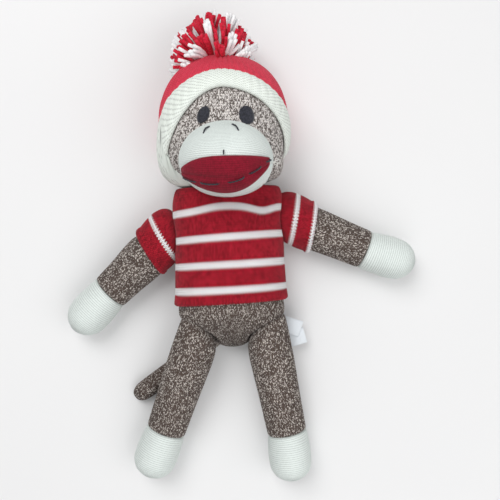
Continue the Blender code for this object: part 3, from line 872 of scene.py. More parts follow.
@dataclass
class Socket:
    """A ball-shaped hollow that a limb's root presses into the side of the torso."""

    centre: Vector
    side: Side
    radius: float
    lean: float = 0.0
    softness: float = 0.0007

    def press(self, points: np.ndarray) -> np.ndarray:
        """Move points that lie in the ball across the torso, to its inner side.

        Args:
            points: Points of the torso's surface.

        Returns:
            The moved points.
        """
        offset = points - np.array(self.centre)
        across, along = np.array(TORSO.across), np.array(TORSO.along)
        a = (offset @ across) * self.side.value
        b = offset @ along
        squat = squatness(self.lean) ** 2
        square, slope = 1 + self.lean ** 2 / squat, self.lean * b / squat
        under = slope ** 2 - square * (b ** 2 / squat + offset[..., 2] ** 2 - self.radius ** 2)
        root = np.sqrt(np.clip(under, 0.0, None))
        inner, outer = (slope - root) / square, (slope + root) / square
        inside = (a > inner) & (a < outer * 1.15) & (root > 0)
        gap = a - inner
        moved = a - (gap + np.sqrt(gap * gap + self.softness ** 2)) / 2
        near = (np.abs(gap) < self.softness) & (root > 0)
        shift = np.where(inside | near, moved - a, 0.0)
        return points + (shift * self.side.value)[..., None] * across


def squatness(lean: float) -> float:
    """How much shorter than a ball a limb's root is when it leans up its outer side."""
    return 1 - 0.4 * abs(lean)


@dataclass
class Trunk:
    """The stuffed body sock and the two labels sewn into its left hip seam."""

    shares: tuple[tuple[float, float, float, float], ...] = (
        (0.000, 0.060, 0.130, 0.230),
        (0.012, 0.200, 0.070, 0.340),
        (0.040, 0.330, 0.020, 0.480),
        (0.085, 0.560, 0.000, 0.620),
        (0.140, 0.830, 0.000, 0.780),
        (0.195, 0.965, 0.000, 0.915),
        (0.250, 0.998, 0.000, 1.000),
        (0.300, 0.985, 0.030, 1.030),
        (0.365, 0.975, 0.051, 1.030),
        (0.520, 0.952, 0.051, 1.005),
        (0.680, 0.940, 0.051, 0.950),
        (0.830, 0.930, 0.051, 0.910),
        (0.915, 0.850, 0.058, 0.885),
        (0.970, 0.680, 0.066, 0.880),
    )
    power: float = 0.88
    neck_rim: float = 0.0176
    neck_seat: float = 0.0166
    wales: int = 118
    label_reach: float = 0.0125
    label_half_width: float = 0.0055

    def form(self) -> SoftForm:
        """The body's surface, from the crotch to the seat of the neck."""
        length = TORSO.above + TORSO.below
        rings = [Ring(TORSO.at(0, -TORSO.below - 0.0006, 0.0075), TORSO.across, 0.0, 0.0, 0.0, self.power)]
        for place, width, low, high in self.shares:
            reach = (high - low) * TORSO.depth + 0.0006
            centre = TORSO.at(0, place * length - TORSO.below, low * TORSO.depth - 0.0006 + reach / 2)
            rings.append(Ring(
                centre, TORSO.across, width * TORSO.half_width, reach / 2, low * TORSO.depth + 0.0004, self.power))
        for turn in (0, 30, 60, 88):
            radius = (self.neck_rim if turn == 0 else self.neck_seat) * cos(radians(turn))
            centre = TORSO.neck - TORSO.along * (self.neck_seat * sin(radians(turn)))
            rings.append(Ring(centre, TORSO.across, radius, radius, 0.0))
        return SoftForm(rings)

    def press(self, points: np.ndarray) -> np.ndarray:
        """Press the roots of the legs and the arms into the body."""
        for side in Side:
            points = Socket(TORSO.shoulder(side), side, 0.0188).press(points)
            hip = TORSO.hip(side)
            way = heading(-pi / 2 + side.value * radians(LEG_SPLAYS[side]))
            for step in range(5):
                lean = HIP_LEAN * (1 - step / 5)
                points = Socket(hip + way * (0.004 * step), side, 0.0149, lean).press(points)
        return points

    def build(self, marl: bpy.types.Material, label: bpy.types.Material) -> None:
        """Make the body and its labels.

        Args:
            marl: The body's finish.
            label: The labels' finish.
        """
        form = self.form()
        under = ((0.052, form.length - 0.001),)
        points, places = Knitting(form, SOCK, self.wales, under).grid(self.press)
        body = grid_object("body", points, places, marl)
        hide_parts("body_skin", "body_stuffing")
        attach(body, "root")
        self.build_labels(label)

    def build_labels(self, material: bpy.types.Material) -> None:
        """Make the two bare labels, each a strip that curls a little away from the seam."""
        for name, along, root, turn, lift in (
            ("label_upper", -0.0560, 0.0350, -20.0, 0.0120), ("label_lower", -0.0675, 0.0375, 14.0, 0.0100),
        ):
            across = np.linspace(0.0, self.label_reach, 25)[None, :]
            up = np.linspace(-self.label_half_width, self.label_half_width, 21)[:, None]
            side = TORSO.across * cos(radians(turn)) + TORSO.along * sin(radians(turn))
            forward = UP.cross(side)
            start = TORSO.at(root, along, lift)
            share = across / self.label_reach
            height = 0.0011 * np.sin(share * pi * 0.9) + 0.0007 * share * (up / self.label_half_width)
            points = (
                np.array(start) + across[..., None] * np.array(side) + up[..., None] * np.array(forward)
                + height[..., None] * np.array(UP))
            places = np.stack(np.broadcast_arrays(across * 1000, up * 1000), axis=-1)
            label = grid_object("bare_" + name, points, places, material, outward=False)
            wall = label.modifiers.new("cloth", "SOLIDIFY")
            wall.thickness = 0.0004
            wall.offset = 0.0
            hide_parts(name)
            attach(label, "root")


@dataclass
class Sweater:
    """The sweater's body: one striped tube with a rolled collar and hem."""

    hem: float = -0.0385
    collar: float = 0.0372
    wales: int = 104
    folds: float = 0.0009
    stripes: tuple[float, ...] = (-0.0301, -0.0130, 0.0034, 0.0222)

    def outline(self, along: float) -> tuple[float, float]:
        """Half width and top of the sweater's outside at a place along the torso."""
        places = (-0.0385, -0.032, -0.010, 0.006, 0.018, 0.027, 0.0325, 0.0372)
        widths = (0.0375, 0.0368, 0.0360, 0.0361, 0.0368, 0.0370, 0.0360, 0.0346)
        tops = (0.0468, 0.0472, 0.0468, 0.0446, 0.0430, 0.0420, 0.0414, 0.0410)
        return float(np.interp(along, places, widths)), float(np.interp(along, places, tops))

    def form(self) -> tuple[SoftForm, np.ndarray]:
        """The tube from inside the hem, round it, up the outside and in again at the collar.

        Returns:
            The tube's form, and how far along the torso each of its rings is.
        """
        rings = []
        profile = [
            (self.hem + 0.0085, -0.0019), (self.hem + 0.0040, -0.0019), (self.hem + 0.0012, -0.0017),
            (self.hem, -0.0008), (self.hem + 0.0012, 0.0002), (self.hem + 0.004, 0.0002), (self.hem + 0.0075, 0.0),
        ]
        profile += [(along, 0.0) for along in np.linspace(-0.024, 0.0325, 9)]
        profile += [
            (self.collar - 0.0026, 0.0), (self.collar - 0.0009, -0.0002), (self.collar, -0.0009),
            (self.collar - 0.0010, -0.0017), (self.collar - 0.004, -0.0019), (self.collar - 0.0075, -0.0019),
        ]
        for along, inset in profile:
            half_width, top = self.outline(along)
            low = 0.0004 - inset
            reach = top + inset - low + 0.0004
            centre = TORSO.at(0, along, low - 0.0004 + reach / 2)
            rise = 0.030 * float(np.clip((-0.020 - along) / 0.015, 0.0, 1.0))
            side = TORSO.across + TORSO.along * rise
            rings.append(Ring(centre, side, half_width + inset, reach / 2, low, 0.88))
        return SoftForm(rings), np.array([along for along, _ in profile])

    def press(self, points: np.ndarray) -> np.ndarray:
        """Press the sleeves' roots into the armholes and lay the knit in soft folds."""
        offset = points - np.array(TORSO.middle)
        across, along = offset @ np.array(TORSO.across), offset @ np.array(TORSO.along)
        face = smooth_step(0.015, 0.035, points[..., 2])
        wave = np.sin(along / 0.021 + across / 0.013 + 0.8) * np.cos(across / 0.017 - along / 0.03)
        points = points + (wave * face * self.folds)[..., None] * np.array(UP)
        for side in Side:
            points = Socket(TORSO.shoulder(side), side, 0.0168).press(points)
        return points

    def warp(self, place: np.ndarray, angle: np.ndarray) -> np.ndarray:
        """Tilt and arch the courses over the chest as the photographed ones are."""
        share = np.clip((place - 0.012) / 0.07, 0.0, 1.0)
        tilt = np.interp(share, (0.0, 0.15, 0.45, 0.75, 0.93, 1.0), (0.0, 0.4, 2.4, 2.8, 2.6, 0.0))
        across = np.cos(angle) * 0.036
        chest = smooth_step(0.60, 0.80, share) * (1 - smooth_step(0.90, 1.0, share)) * np.clip(np.sin(angle), 0, 1)
        arch = 0.0022 * np.exp(-((across + 0.003) / 0.014) ** 2) - 0.0030 * np.exp(-((across - 0.0215) / 0.008) ** 2)
        return np.tan(np.radians(tilt)) * across + arch * chest

    def build(self) -> None:
        """Make the sweater's body."""
        form, alongs = self.form()
        outside = slice(int(np.argmin(alongs[:8])), int(np.argmax(alongs)) + 1)
        bands = bands_at(self.stripes, 0.0044, alongs[outside], form.places[outside], SWEATER.course)
        # gap sets how dark the painted shade in the holes between stitches is.
        finish = StripedFinish("sweater_knit", SWEATER_RED, SWEATER_SHADE, 0.6, gap=0.8, bands=bands)
        knit = Knitting(form, SWEATER, self.wales, ((0.0, 0.0065), (form.length - 0.0065, form.length)), 0.0005)
        points, places = knit.grid(self.press, self.warp)
        sweater = grid_object("sweater", points[1:-1], places[1:-1], finish.material())
        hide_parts("sweater_body")
        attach(sweater, "root")


def bands_at(
    centres: Sequence[float], width: float, alongs: np.ndarray, places: np.ndarray, course: float
) -> tuple[tuple[float, float], ...]:
    """Work out which courses a garment's stripes take up.

    Args:
        centres: Where the stripes' middles are along the garment.
        width: How wide each stripe is.
        alongs: How far along the garment each ring of its form is.
        places: The same rings' lengths along the form.
        course: The height of a course.

    Returns:
        Each stripe's first and last course.
    """
    bands = []
    for centre in centres:
        middle = float(np.interp(centre, alongs, places)) / course
        first = round(middle - width / course / 2)
        bands.append((float(first), float(first + round(width / course))))
    return tuple(bands)


@dataclass
class Limb:
    """A stuffed tube of sock from its joint to its cream tip."""

    pivot: Vector
    way: Vector
    tip_way: Vector
    length: float
    radius: float
    end_height: float
    tip_length: float
    shares: tuple[tuple[float, float], ...]
    tip_shares: tuple[tuple[float, float], ...]
    bow: float = 0.0
    lean: float = 0.0

    def ring(self, centre: Vector, way: Vector, radius: float, lean: float = 0.0) -> Ring:
        """A round ring across the limb, flat where it would go below the floor."""
        return Ring(centre, Vector((way.y, -way.x, 0)) + way * lean, radius, radius, 0.0004)

    def tube(self) -> SoftForm:
        """The marled tube: a rounded root about the joint, then the limb, closed inside the seam."""
        rings = []
        squat = self.radius * squatness(self.lean)
        for turn in ROOT_TURNS:
            centre = self.pivot + self.way * (squat * sin(turn))
            rings.append(self.ring(centre, self.way, self.radius * cos(turn), self.lean))
        for place, thick in self.shares:
            drop = (self.pivot.z - self.end_height) * place - self.bow * 4 * place * (1 - place)
            centre = self.pivot + self.way * (self.length * place) - UP * drop
            lean = self.lean * max(0.0, 1 - place * self.length / 0.022)
            rings.append(self.ring(centre, self.way, self.radius * thick, lean))
        last = rings[-1]
        seam = self.way * 0.0009
        rings.append(self.ring(last.centre + seam, self.way, last.half_width - 0.0016))
        rings.append(self.ring(last.centre + seam, self.way, last.half_width * 0.4))
        rings.append(self.ring(last.centre + seam, self.way, 0.0))
        return SoftForm(rings)

    def tip(self) -> SoftForm:
        """The cream tip, from inside its seam to its rounded end."""
        start = self.pivot + self.way * self.length
        start.z = self.end_height
        first = self.radius * self.tip_shares[0][1]
        rings = [
            self.ring(start + self.way * 0.0012, self.way, 0.0),
            self.ring(start + self.way * 0.0012, self.way, first * 0.5),
            self.ring(start + self.way * 0.0010, self.way, first - 0.0014),
        ]
        for place, thick in self.tip_shares:
            turned = self.tip_way if place > 0.1 else self.way
            centre = start + self.way * 0.0022 + self.tip_way * (self.tip_length * place)
            rings.append(self.ring(centre, turned, self.radius * thick))
        end = start + self.tip_way * (self.tip_length * 1.004)
        rings.append(self.ring(end, self.tip_way, 0.0))
        return SoftForm(rings)

    def build(
        self, names: tuple[str, str], nodes: tuple[Sequence[str], Sequence[str]], body: str,
        marl: bpy.types.Material, cream: bpy.types.Material,
    ) -> None:
        """Make the tube and its tip.

        Args:
            names: The names of the tube and the tip.
            nodes: The nodes that each of them stands for.
            body: The body that they ride on.
            marl: The tube's finish.
            cream: The tip's finish.
        """
        around = tau * self.radius
        tube = self.tube()
        for name, form, replaced, gauge, material, slot, plain in (
            (names[0], tube, nodes[0], SOCK, marl, "marled_knit", ((tube.length - self.radius * 0.8, tube.length),)),
            (names[1], self.tip(), nodes[1], FINE_SOCK, cream, "cream_knit", ((0.0, self.radius * 0.8),)),
        ):
            knit = Knitting(form, gauge, round(around / gauge.wale), plain, 0.004)
            points, places = knit.grid()
            piece = grid_object(name, points, places, material)
            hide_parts(*replaced)
            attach(piece, body)


@dataclass
class Arm:
    """An arm, its hand and its short striped sleeve."""

    side: Side
    radius: float = 0.0132
    length: float = 0.051
    slant: float = 0.22
    sleeve_rows: tuple[tuple[float, float, float, float], ...] = (
        (-0.0162, -0.0010, 0.0072, 0.0034),
        (-0.0148, -0.0068, 0.0114, 0.0080),
        (-0.0120, -0.0110, 0.0144, 0.0116),
        (-0.0080, -0.0142, 0.0164, 0.0145),
        (-0.0030, -0.0159, 0.0174, 0.0160),
        (0.0025, -0.0164, 0.0174, 0.0162),
        (0.0075, -0.0163, 0.0168, 0.0161),
        (0.0090, -0.0162, 0.0165, 0.0161),
        (0.0104, -0.0168, 0.0170, 0.0167),
        (0.0120, -0.0168, 0.0170, 0.0167),
        (0.0131, -0.0162, 0.0164, 0.0160),
    )

    @property
    def way(self) -> Vector:
        """The arm's heading."""
        drop = radians(21.8 if self.side is Side.LEFT else 43.8)
        return heading(-drop if self.side is Side.LEFT else pi + drop)

    @property
    def hand_way(self) -> Vector:
        """The hand's heading."""
        drop = radians(17.0 if self.side is Side.LEFT else 47.0)
        return heading(-drop if self.side is Side.LEFT else pi + drop)

    def build(self, marl: bpy.types.Material, cream: bpy.types.Material) -> None:
        """Make the arm, the hand and the sleeve.

        Args:
            marl: The arm's finish.
            cream: The hand's finish.
        """
        word = self.side.word
        full = 0.06 if self.side is Side.RIGHT else 0.0
        limb = Limb(
            TORSO.shoulder(self.side), self.way, self.hand_way, self.length, self.radius, 0.0128, 0.034,
            ((0.20, 1.05), (0.32, 1.07 + full), (0.46, 1.05 + full), (0.70, 1.01 + full / 3), (0.90, 0.99),
             (1.00, 0.97)),
            ((0.00, 0.965), (0.22, 1.020), (0.46, 1.060), (0.68, 1.010), (0.86, 0.780), (0.96, 0.450), (1.00, 0.180)))
        limb.build(
            ("arm_" + word, "hand_" + word),
            (("arm_skin_" + word, "arm_stuffing_" + word, "shoulder_stuffing_" + word), ("hand_skin_" + word,)),
            "arm_" + word, marl, cream)
        self.build_sleeve()

    def sleeve_form(self) -> SoftForm:
        """The sleeve: a root that leans up to the top of the armhole, then a tube to its rolled cuff."""
        pivot = TORSO.shoulder(self.side)
        upper = Vector((self.way.y, -self.way.x, 0)) * -self.side.value
        side = Vector((self.way.y, -self.way.x, 0)) + self.way * (self.slant * self.side.value)
        rings = []
        for along, low, high, height in self.sleeve_rows:
            centre = pivot + self.way * along + upper * ((low + high) / 2)
            rings.append(Ring(centre, side, (high - low) / 2, height, 0.0003))
        for along, size in ((0.0134, 0.0152), (0.0130, 0.0147), (0.0112, 0.0146), (0.0070, 0.0146)):
            rings.append(Ring(pivot + self.way * along, side, size, size, 0.0012))
        return SoftForm(rings)

    def build_sleeve(self) -> None:
        """Make the sleeve."""
        form = self.sleeve_form()
        alongs = np.array([row[0] for row in self.sleeve_rows])
        stripes = (-0.0010,) if self.side is Side.RIGHT else (-0.0002, 0.0118)
        bands = bands_at(stripes, 0.0034, alongs, form.places[:len(alongs)], SWEATER.course)
        # gap sets how dark the painted shade in the holes between stitches is.
        finish = StripedFinish("sleeve_knit_" + self.side.word, SWEATER_RED, SWEATER_SHADE, 0.6, gap=0.8, bands=bands)
        knit = Knitting(form, SWEATER, 50, ((form.length - 0.007, form.length),), 0.0005)
        points, places = knit.grid()
        sleeve = grid_object("sleeve_knit_" + self.side.word, points[1:-1], places[1:-1], finish.material())
        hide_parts("sleeve_" + self.side.word)
        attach(sleeve, "arm_" + self.side.word)


@dataclass
class Leg:
    """A leg and its foot."""

    side: Side
    radius: float = 0.0143
    length: float = 0.068

    def build(self, marl: bpy.types.Material, cream: bpy.types.Material) -> None:
        """Make the leg and the foot.

        Args:
            marl: The leg's finish.
            cream: The foot's finish.
        """
        left = self.side is Side.LEFT
        way = heading(-pi / 2 + self.side.value * radians(LEG_SPLAYS[self.side]))
        foot_way = heading(-pi / 2 + self.side.value * radians(6.7 if left else 21.0))
        word = self.side.word
        limb = Limb(
            TORSO.hip(self.side), way, foot_way, self.length, self.radius, self.radius * 0.915 - 0.0005, 0.032,
            ((0.08, 1.010), (0.16, 1.015), (0.33, 1.000), (0.52, 0.970), (0.72, 0.940), (0.90, 0.925), (1.00, 0.905)),
            ((0.00, 0.910), (0.20, 0.965), (0.42, 1.000), (0.64, 0.980), (0.82, 0.830), (0.94, 0.520), (1.00, 0.180)),
            0.0 if left else 0.0022, HIP_LEAN * self.side.value)
        limb.build(
            ("leg_" + word, "foot_" + word),
            (("leg_skin_" + word, "leg_stuffing_" + word, "hip_stuffing_" + word), ("foot_skin_" + word,)),
            "leg_" + word, marl, cream)


@dataclass
class Tail:
    """The thin tail that comes out from under the right leg."""

    length: float = 0.0705
    half_width: float = 0.0058
    half_height: float = 0.0033
    wales: int = 22
    shares: tuple[tuple[float, float, float], ...] = (
        (0.00, 1.00, 1.00), (0.20, 1.03, 1.02), (0.42, 1.06, 1.08), (0.53, 1.08, 1.22), (0.62, 1.09, 1.42),
        (0.72, 1.10, 1.66), (0.82, 1.10, 1.82), (0.90, 1.04, 1.76), (0.96, 0.78, 1.36), (0.99, 0.45, 0.90),
    )

    def build(self, marl: bpy.types.Material) -> None:
        """Make the tail.

        Args:
            marl: Its finish.
        """
        way = heading(radians(216.6))
        side = Vector((way.y, -way.x, 0))
        root = TORSO.at(-0.0125, -0.065, 0)
        rings = [Ring(root + UP * self.half_height, side, 0.0, 0.0, 0.0003)]
        for place, width, height in self.shares:
            centre = root + way * (self.length * place) + UP * (self.half_height * height - 0.0003)
            rings.append(Ring(centre, side, self.half_width * width, self.half_height * height, 0.0003))
        rings.append(Ring(root + way * self.length + UP * (self.half_height * 0.9), side, 0.0, 0.0, 0.0003))
        form = SoftForm(rings)
        points, places = Knitting(form, SOCK, self.wales, ((0.0, 0.006),), 0.003).grid()
        tail = grid_object("tail_knit", points, places, marl)
        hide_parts("tail_skin", "tail_stuffing")
        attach(tail, "tail")


@dataclass
class Head:
    """The stuffed head sock, with the muzzle, the mouth and the stitched face on it."""

    length: float = 0.082
    half_width: float = 0.0382
    depth: float = 0.065
    base: float = 0.0038
    shift: float = -0.0019
    ball: float = 0.016
    power: float = 0.94
    wales: int = 112
    shares: tuple[tuple[float, float, float, float], ...] = (
        (0.048, 0.480, 0.080, 0.520),
        (0.066, 0.740, 0.075, 0.610),
        (0.100, 0.905, 0.045, 0.715),
        (0.165, 0.985, 0.016, 0.865),
        (0.290, 1.000, 0.000, 0.975),
        (0.430, 1.000, 0.000, 1.000),
        (0.570, 0.985, 0.000, 0.995),
        (0.700, 0.920, 0.010, 0.955),
        (0.820, 0.790, 0.060, 0.865),
        (0.910, 0.600, 0.150, 0.740),
        (0.970, 0.360, 0.270, 0.600),
        (1.000, 0.120, 0.385, 0.480),
    )

    def form(self) -> SoftForm:
        """The head's surface: a ball in the neck's seat, wide cheeks and a round crown."""
        neck = TORSO.neck
        rings = []
        for turn in ROOT_TURNS:
            rings.append(Ring(
                neck + TORSO.along * (self.ball * sin(turn)), TORSO.across, self.ball * cos(turn),
                self.ball * cos(turn)))
        for place, width, low, high in self.shares:
            floor = self.base + low * self.depth
            reach = (high - low) * self.depth + 0.0006
            centre = neck + Vector((self.shift * min(1.0, place * 4), place * self.length, 0))
            centre.z = floor - 0.0006 + reach / 2
            rings.append(Ring(centre, Vector((1, 0, 0)), width * self.half_width, reach / 2, floor, self.power))
        last = rings[-1]
        rings.append(Ring(last.centre + Vector((0, 0.0004, 0)), last.side, 0.0, 0.0, last.floor, self.power))
        return SoftForm(rings)

    def build(self, marl: bpy.types.Material) -> SoftForm:
        """Make the head.

        Args:
            marl: Its finish.

        Returns:
            The head's form, for what is laid on it.
        """
        form = self.form()
        knitting = Knitting(form, SOCK, self.wales, ((0.0, 0.018), (form.length * 0.72, form.length)))
        points, places = knitting.grid()
        head = grid_object("head_knit", points, places, marl)
        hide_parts("head_skin", "head_stuffing", "neck_stuffing")
        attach(head, "head")
        return form


class HeadSurface:
    """Reads the height and the slope of the head's front over a place."""

    def __init__(self, form: SoftForm) -> None:
        """Draw the front of the head as a fine table of heights.

        Args:
            form: The head's form.
        """
        place = np.linspace(0.016, form.length, 220)
        angle = np.repeat(np.linspace(0.02, pi - 0.02, 181)[None, :], 220, axis=0)
        points = form.points(np.repeat(place[:, None], 181, axis=1), angle)
        self.points = points.reshape(-1, 3)

    def height(self, x: np.ndarray, y: np.ndarray) -> np.ndarray:
        """The head's height over places.

        Args:
            x: Places across.
            y: Places along.

        Returns:
            The heights.
        """
        flat_x, flat_y = np.ravel(x), np.ravel(y)
        heights = np.empty(len(flat_x))
        for start in range(0, len(flat_x), 512):
            stop = start + 512
            gap = (
                (self.points[None, :, 0] - flat_x[start:stop, None]) ** 2
                + (self.points[None, :, 1] - flat_y[start:stop, None]) ** 2)
            near = np.argpartition(gap, 4, axis=1)[:, :4]
            weight = 1 / (np.take_along_axis(gap, near, axis=1) + 1e-9)
            heights[start:stop] = (self.points[near, 2] * weight).sum(axis=1) / weight.sum(axis=1)
        return heights.reshape(np.shape(x))


@dataclass
class Muzzle:
    """The cream muzzle, the red mouth patch over its lower half, and the stitches on them."""

    half_width: float = 0.0292
    half_height: float = 0.0217
    rise: float = 0.0265
    bulge: float = 0.028
    base: float = 0.052
    corners: tuple[float, ...] = (-0.88, -0.66, -0.42, -0.14, 0.14, 0.42, 0.66, 0.88)
    tops: tuple[float, ...] = (-0.29, -0.17, -0.10, -0.075, -0.07, -0.05, -0.03, -0.02)
    bottoms: tuple[float, ...] = (-0.42, -0.66, -0.83, -0.925, -0.925, -0.80, -0.56, -0.17)
    stitches: tuple[tuple[float, float], ...] = (
        (0.00, 0.20), (0.225, 0.43), (0.50, 0.67), (0.72, 0.86), (0.93, 1.00))

    def stitch_share(self, x: float) -> float:
        """How high in the patch the line of stitches runs: low on the right and high on the left."""
        return float(np.interp(x, (-0.85, -0.45, 0.0, 0.35, 0.62, 0.85), (0.16, 0.24, 0.30, 0.38, 0.50, 0.72)))

    @property
    def middle(self) -> Vector:
        """The middle of the muzzle's widest ring."""
        place = TORSO.neck + Vector((0.0003, 0.0145, 0))
        place.z = self.base
        return place

    def dome(self, across: np.ndarray, up: np.ndarray, lift: object = 0.0) -> np.ndarray:
        """Points on the muzzle's dome.

        Args:
            across: Shares of its half width.
            up: Shares of its half height, positive towards the eyes.
            lift: How far above the dome each point lies.

        Returns:
            The points.
        """
        reach = np.where(up > 0, self.rise, self.half_height)
        out = np.sqrt(np.clip(1 - across ** 2 - up ** 2, 0.0, None))
        point = np.stack((across * self.half_width, up * reach, out * self.bulge), axis=-1)
        normal = np.stack((across / self.half_width, up / reach, out / self.bulge), axis=-1)
        normal /= np.linalg.norm(normal, axis=-1, keepdims=True)
        return np.array(self.middle) + point + normal * np.asarray(lift)[..., None]

    def at(self, across: float, up: float, lift: float) -> Vector:
        """One point on the dome."""
        return Vector(self.dome(np.array([across]), np.array([up]), np.array([lift]))[0])

    def build(self, surface: HeadSurface, cream: bpy.types.Material, lip: bpy.types.Material,
              thread: bpy.types.Material, white: bpy.types.Material) -> None:
        """Make the muzzle and all that is on it.

        Args:
            surface: The head's front.
            cream: The muzzle's finish.
            lip: The mouth's finish.
            thread: The black thread.
            white: The white thread.
        """
        self.build_pad(surface, cream)
        self.build_mouth(lip)
        self.build_stitches(thread, white)

    def rim(self, surface: HeadSurface, turn: np.ndarray) -> np.ndarray:
        """How far out the dome stands clear of the head.

        Args:
            surface: The head's front.
            turn: Directions from the muzzle's middle.

        Returns:
            The last clear share of the dome's half sizes in each direction.
        """
        shares = np.linspace(0.4, 1.0, 121)[:, None]
        turns = np.linspace(-pi, pi, 97)[None, :]
        points = self.dome(shares * np.cos(turns), shares * np.sin(turns))
        clear = points[..., 2] - surface.height(points[..., 0], points[..., 1]) > 0.0003
        reach = np.where(clear, shares, 0.4).max(axis=0)
        soft = np.convolve(np.concatenate((reach[-4:-1], reach, reach[1:4])), np.ones(7) / 7, mode="valid")
        return np.interp(turn, turns[0], soft)

    def build_pad(self, surface: HeadSurface, cream: bpy.types.Material) -> None:
        """Make the stuffed muzzle: a stitched dome over a back that follows the head."""
        gauge = FINE_SOCK
        wales, courses = 42, 50
        column = np.arange(wales * gauge.per_wale + 1) / gauge.per_wale
        row = np.arange(courses * gauge.per_course + 1) / gauge.per_course
        across_stitch, course = np.meshgrid(column, row)
        x = across_stitch / wales * 2 - 1
        y = np.clip((course + gauge.lean(across_stitch) - gauge.slant / 2) / courses, 0, 1) * 2 - 1
        rim = (np.abs(x) >= 1) | (row[:, None] == 0) | (row[:, None] == courses)
        y = np.where(rim, course / courses * 2 - 1, y)
        disc_x, disc_y = x * np.sqrt(1 - y ** 2 / 2), y * np.sqrt(1 - x ** 2 / 2)
        radius = np.clip(np.hypot(disc_x, disc_y), 0, 1)
        edge = self.rim(surface, np.arctan2(disc_y, disc_x))
        bend = np.sin(radius * np.arcsin(edge)) / np.maximum(radius, 1e-6)
        front = self.dome(disc_x * bend, disc_y * bend)
        height = gauge.height(across_stitch, course) * smooth_step(0.0, 0.12, 1 - radius)
        front = front + surface_normals(front, wrapped=False) * height[..., None]
        edge_height = surface.height(front[..., 0], front[..., 1])
        front[..., 2] = np.where(rim, edge_height + 0.0004, np.maximum(front[..., 2], edge_height + 0.0006))
        back = front.copy()
        back[..., 2] = edge_height + 0.0004
        places = np.stack((across_stitch, course), axis=-1)
        whole, whole_places = np.concatenate((front, back[::-1])), np.concatenate((places, places[::-1]))
        pad = grid_object("muzzle_knit", whole, whole_places, cream)
        builder = bmesh.new()
        builder.from_mesh(pad.data)
        bmesh.ops.remove_doubles(builder, verts=builder.verts[:], dist=0.00001)
        bmesh.ops.recalc_face_normals(builder, faces=builder.faces[:])
        builder.to_mesh(pad.data)
        builder.free()
        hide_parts("muzzle_skin", "muzzle_stuffing")
        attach(pad, "head")

    def build_mouth(self, lip: bpy.types.Material) -> None:
        """Make the red patch, puffed out a little above and below its line of stitches."""
        gauge = FINE_SOCK
        wales, courses = 38, 17
        column = np.arange(wales * gauge.per_wale + 1) / gauge.per_wale
        row = np.arange(courses * gauge.per_course + 1) / gauge.per_course
        across_stitch, course = np.meshgrid(column, row)
        share_x = across_stitch / wales
        share_y = np.clip((course + (gauge.lean(across_stitch) - gauge.slant / 2) * 0.7) / courses, 0, 1)
        rim = (share_x <= 0) | (share_x >= 1) | (row[:, None] == 0) | (row[:, None] == courses)
        share_y = np.where(rim, course / courses, share_y)
        x = self.corners[0] + (self.corners[-1] - self.corners[0]) * share_x
        top = smooth_between(x, self.corners, self.tops)
        bottom = smooth_between(x, self.corners, self.bottoms)
        y = bottom + (top - bottom) * share_y
        inside = np.minimum(np.minimum(share_x, 1 - share_x) * 14, np.minimum(share_y, 1 - share_y) * 7)
        puff = np.sqrt(np.clip(inside, 0, 1))
        crease = np.exp(-((share_y - 0.40) / 0.07) ** 2)
        lift = 0.0009 + 0.0016 * puff - 0.0007 * crease * puff
        points = self.dome(x, y, lift)
        height = gauge.height(across_stitch, course) * puff
        points = points + surface_normals(points, wrapped=False) * height[..., None]
        places = np.stack((across_stitch, course), axis=-1)
        patch = grid_object("mouth_knit", points, places, lip, outward=False)
        wall = patch.modifiers.new("cloth", "SOLIDIFY")
        wall.thickness = 0.0008
        wall.offset = -1.0
        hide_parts("mouth_patch")
        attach(patch, "head")

    def build_stitches(self, thread: bpy.types.Material, white: bpy.types.Material) -> None:
        """Make the running stitches of the mouth, the nostrils, and the frayed end at its corner."""
        line = []
        for x in np.linspace(self.corners[0] + 0.06, self.corners[-1] - 0.03, 60):
            top = float(smooth_between(np.array([x]), self.corners, self.tops)[0])
            bottom = float(smooth_between(np.array([x]), self.corners, self.bottoms)[0])
            line.append(self.at(float(x), bottom + (top - bottom) * self.stitch_share(float(x)), 0.0028))
        lengths = np.concatenate(([0.0], np.cumsum([(b - a).length for a, b in zip(line, line[1:])])))
        for index, (first, last) in enumerate(self.stitches):
            run = []
            for share in np.linspace(0, 1, 9):
                place = lengths[-1] * (first + (last - first) * share)
                point = Vector([float(np.interp(place, lengths, [p[axis] for p in line])) for axis in range(3)])
                out = (point - self.middle).normalized()
                run.append(point + out * (0.0006 * sin(pi * share) ** 0.5 - 0.0012 * (abs(share - 0.5) * 2) ** 6))
            self.sew("mouth_thread_%d" % (index + 1), run, thread, "mouth_stitch_%d" % (index + 1))
        for name, places in (
            ("nostril_left", ((0.147, 0.676), (0.220, 0.600), (0.277, 0.520))),
            ("nostril_right", ((-0.298, 0.620), (-0.365, 0.550), (-0.414, 0.465))),
        ):
            lifts = (0.0002, 0.0010, 0.0002)
            run = smooth_run([self.at(*place, lift) for place, lift in zip(places, lifts)], 6)
            self.sew(name + "_thread", run, thread, name)
        tick = [self.at(-0.005, -0.05 + 0.10 * share, 0.0022 - 0.0012 * share) for share in (0, 0.5, 1.0)]
        self.sew("mouth_tick", tick, thread, "")
        fray = []
        for turn in (-0.5, 0.1, 0.6):
            start = self.at(0.93, -0.12, 0.0012)
            way = Vector((0.9, -0.2 + turn, 0.25)).normalized()
            fray.append([start + way * (0.0045 * s) + UP * (0.0012 * s * (1 - s)) for s in (0, 0.35, 0.7, 1.0)])
        loose = thread_object("frayed_thread", fray, 0.00022, [white])
        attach(loose, "head")

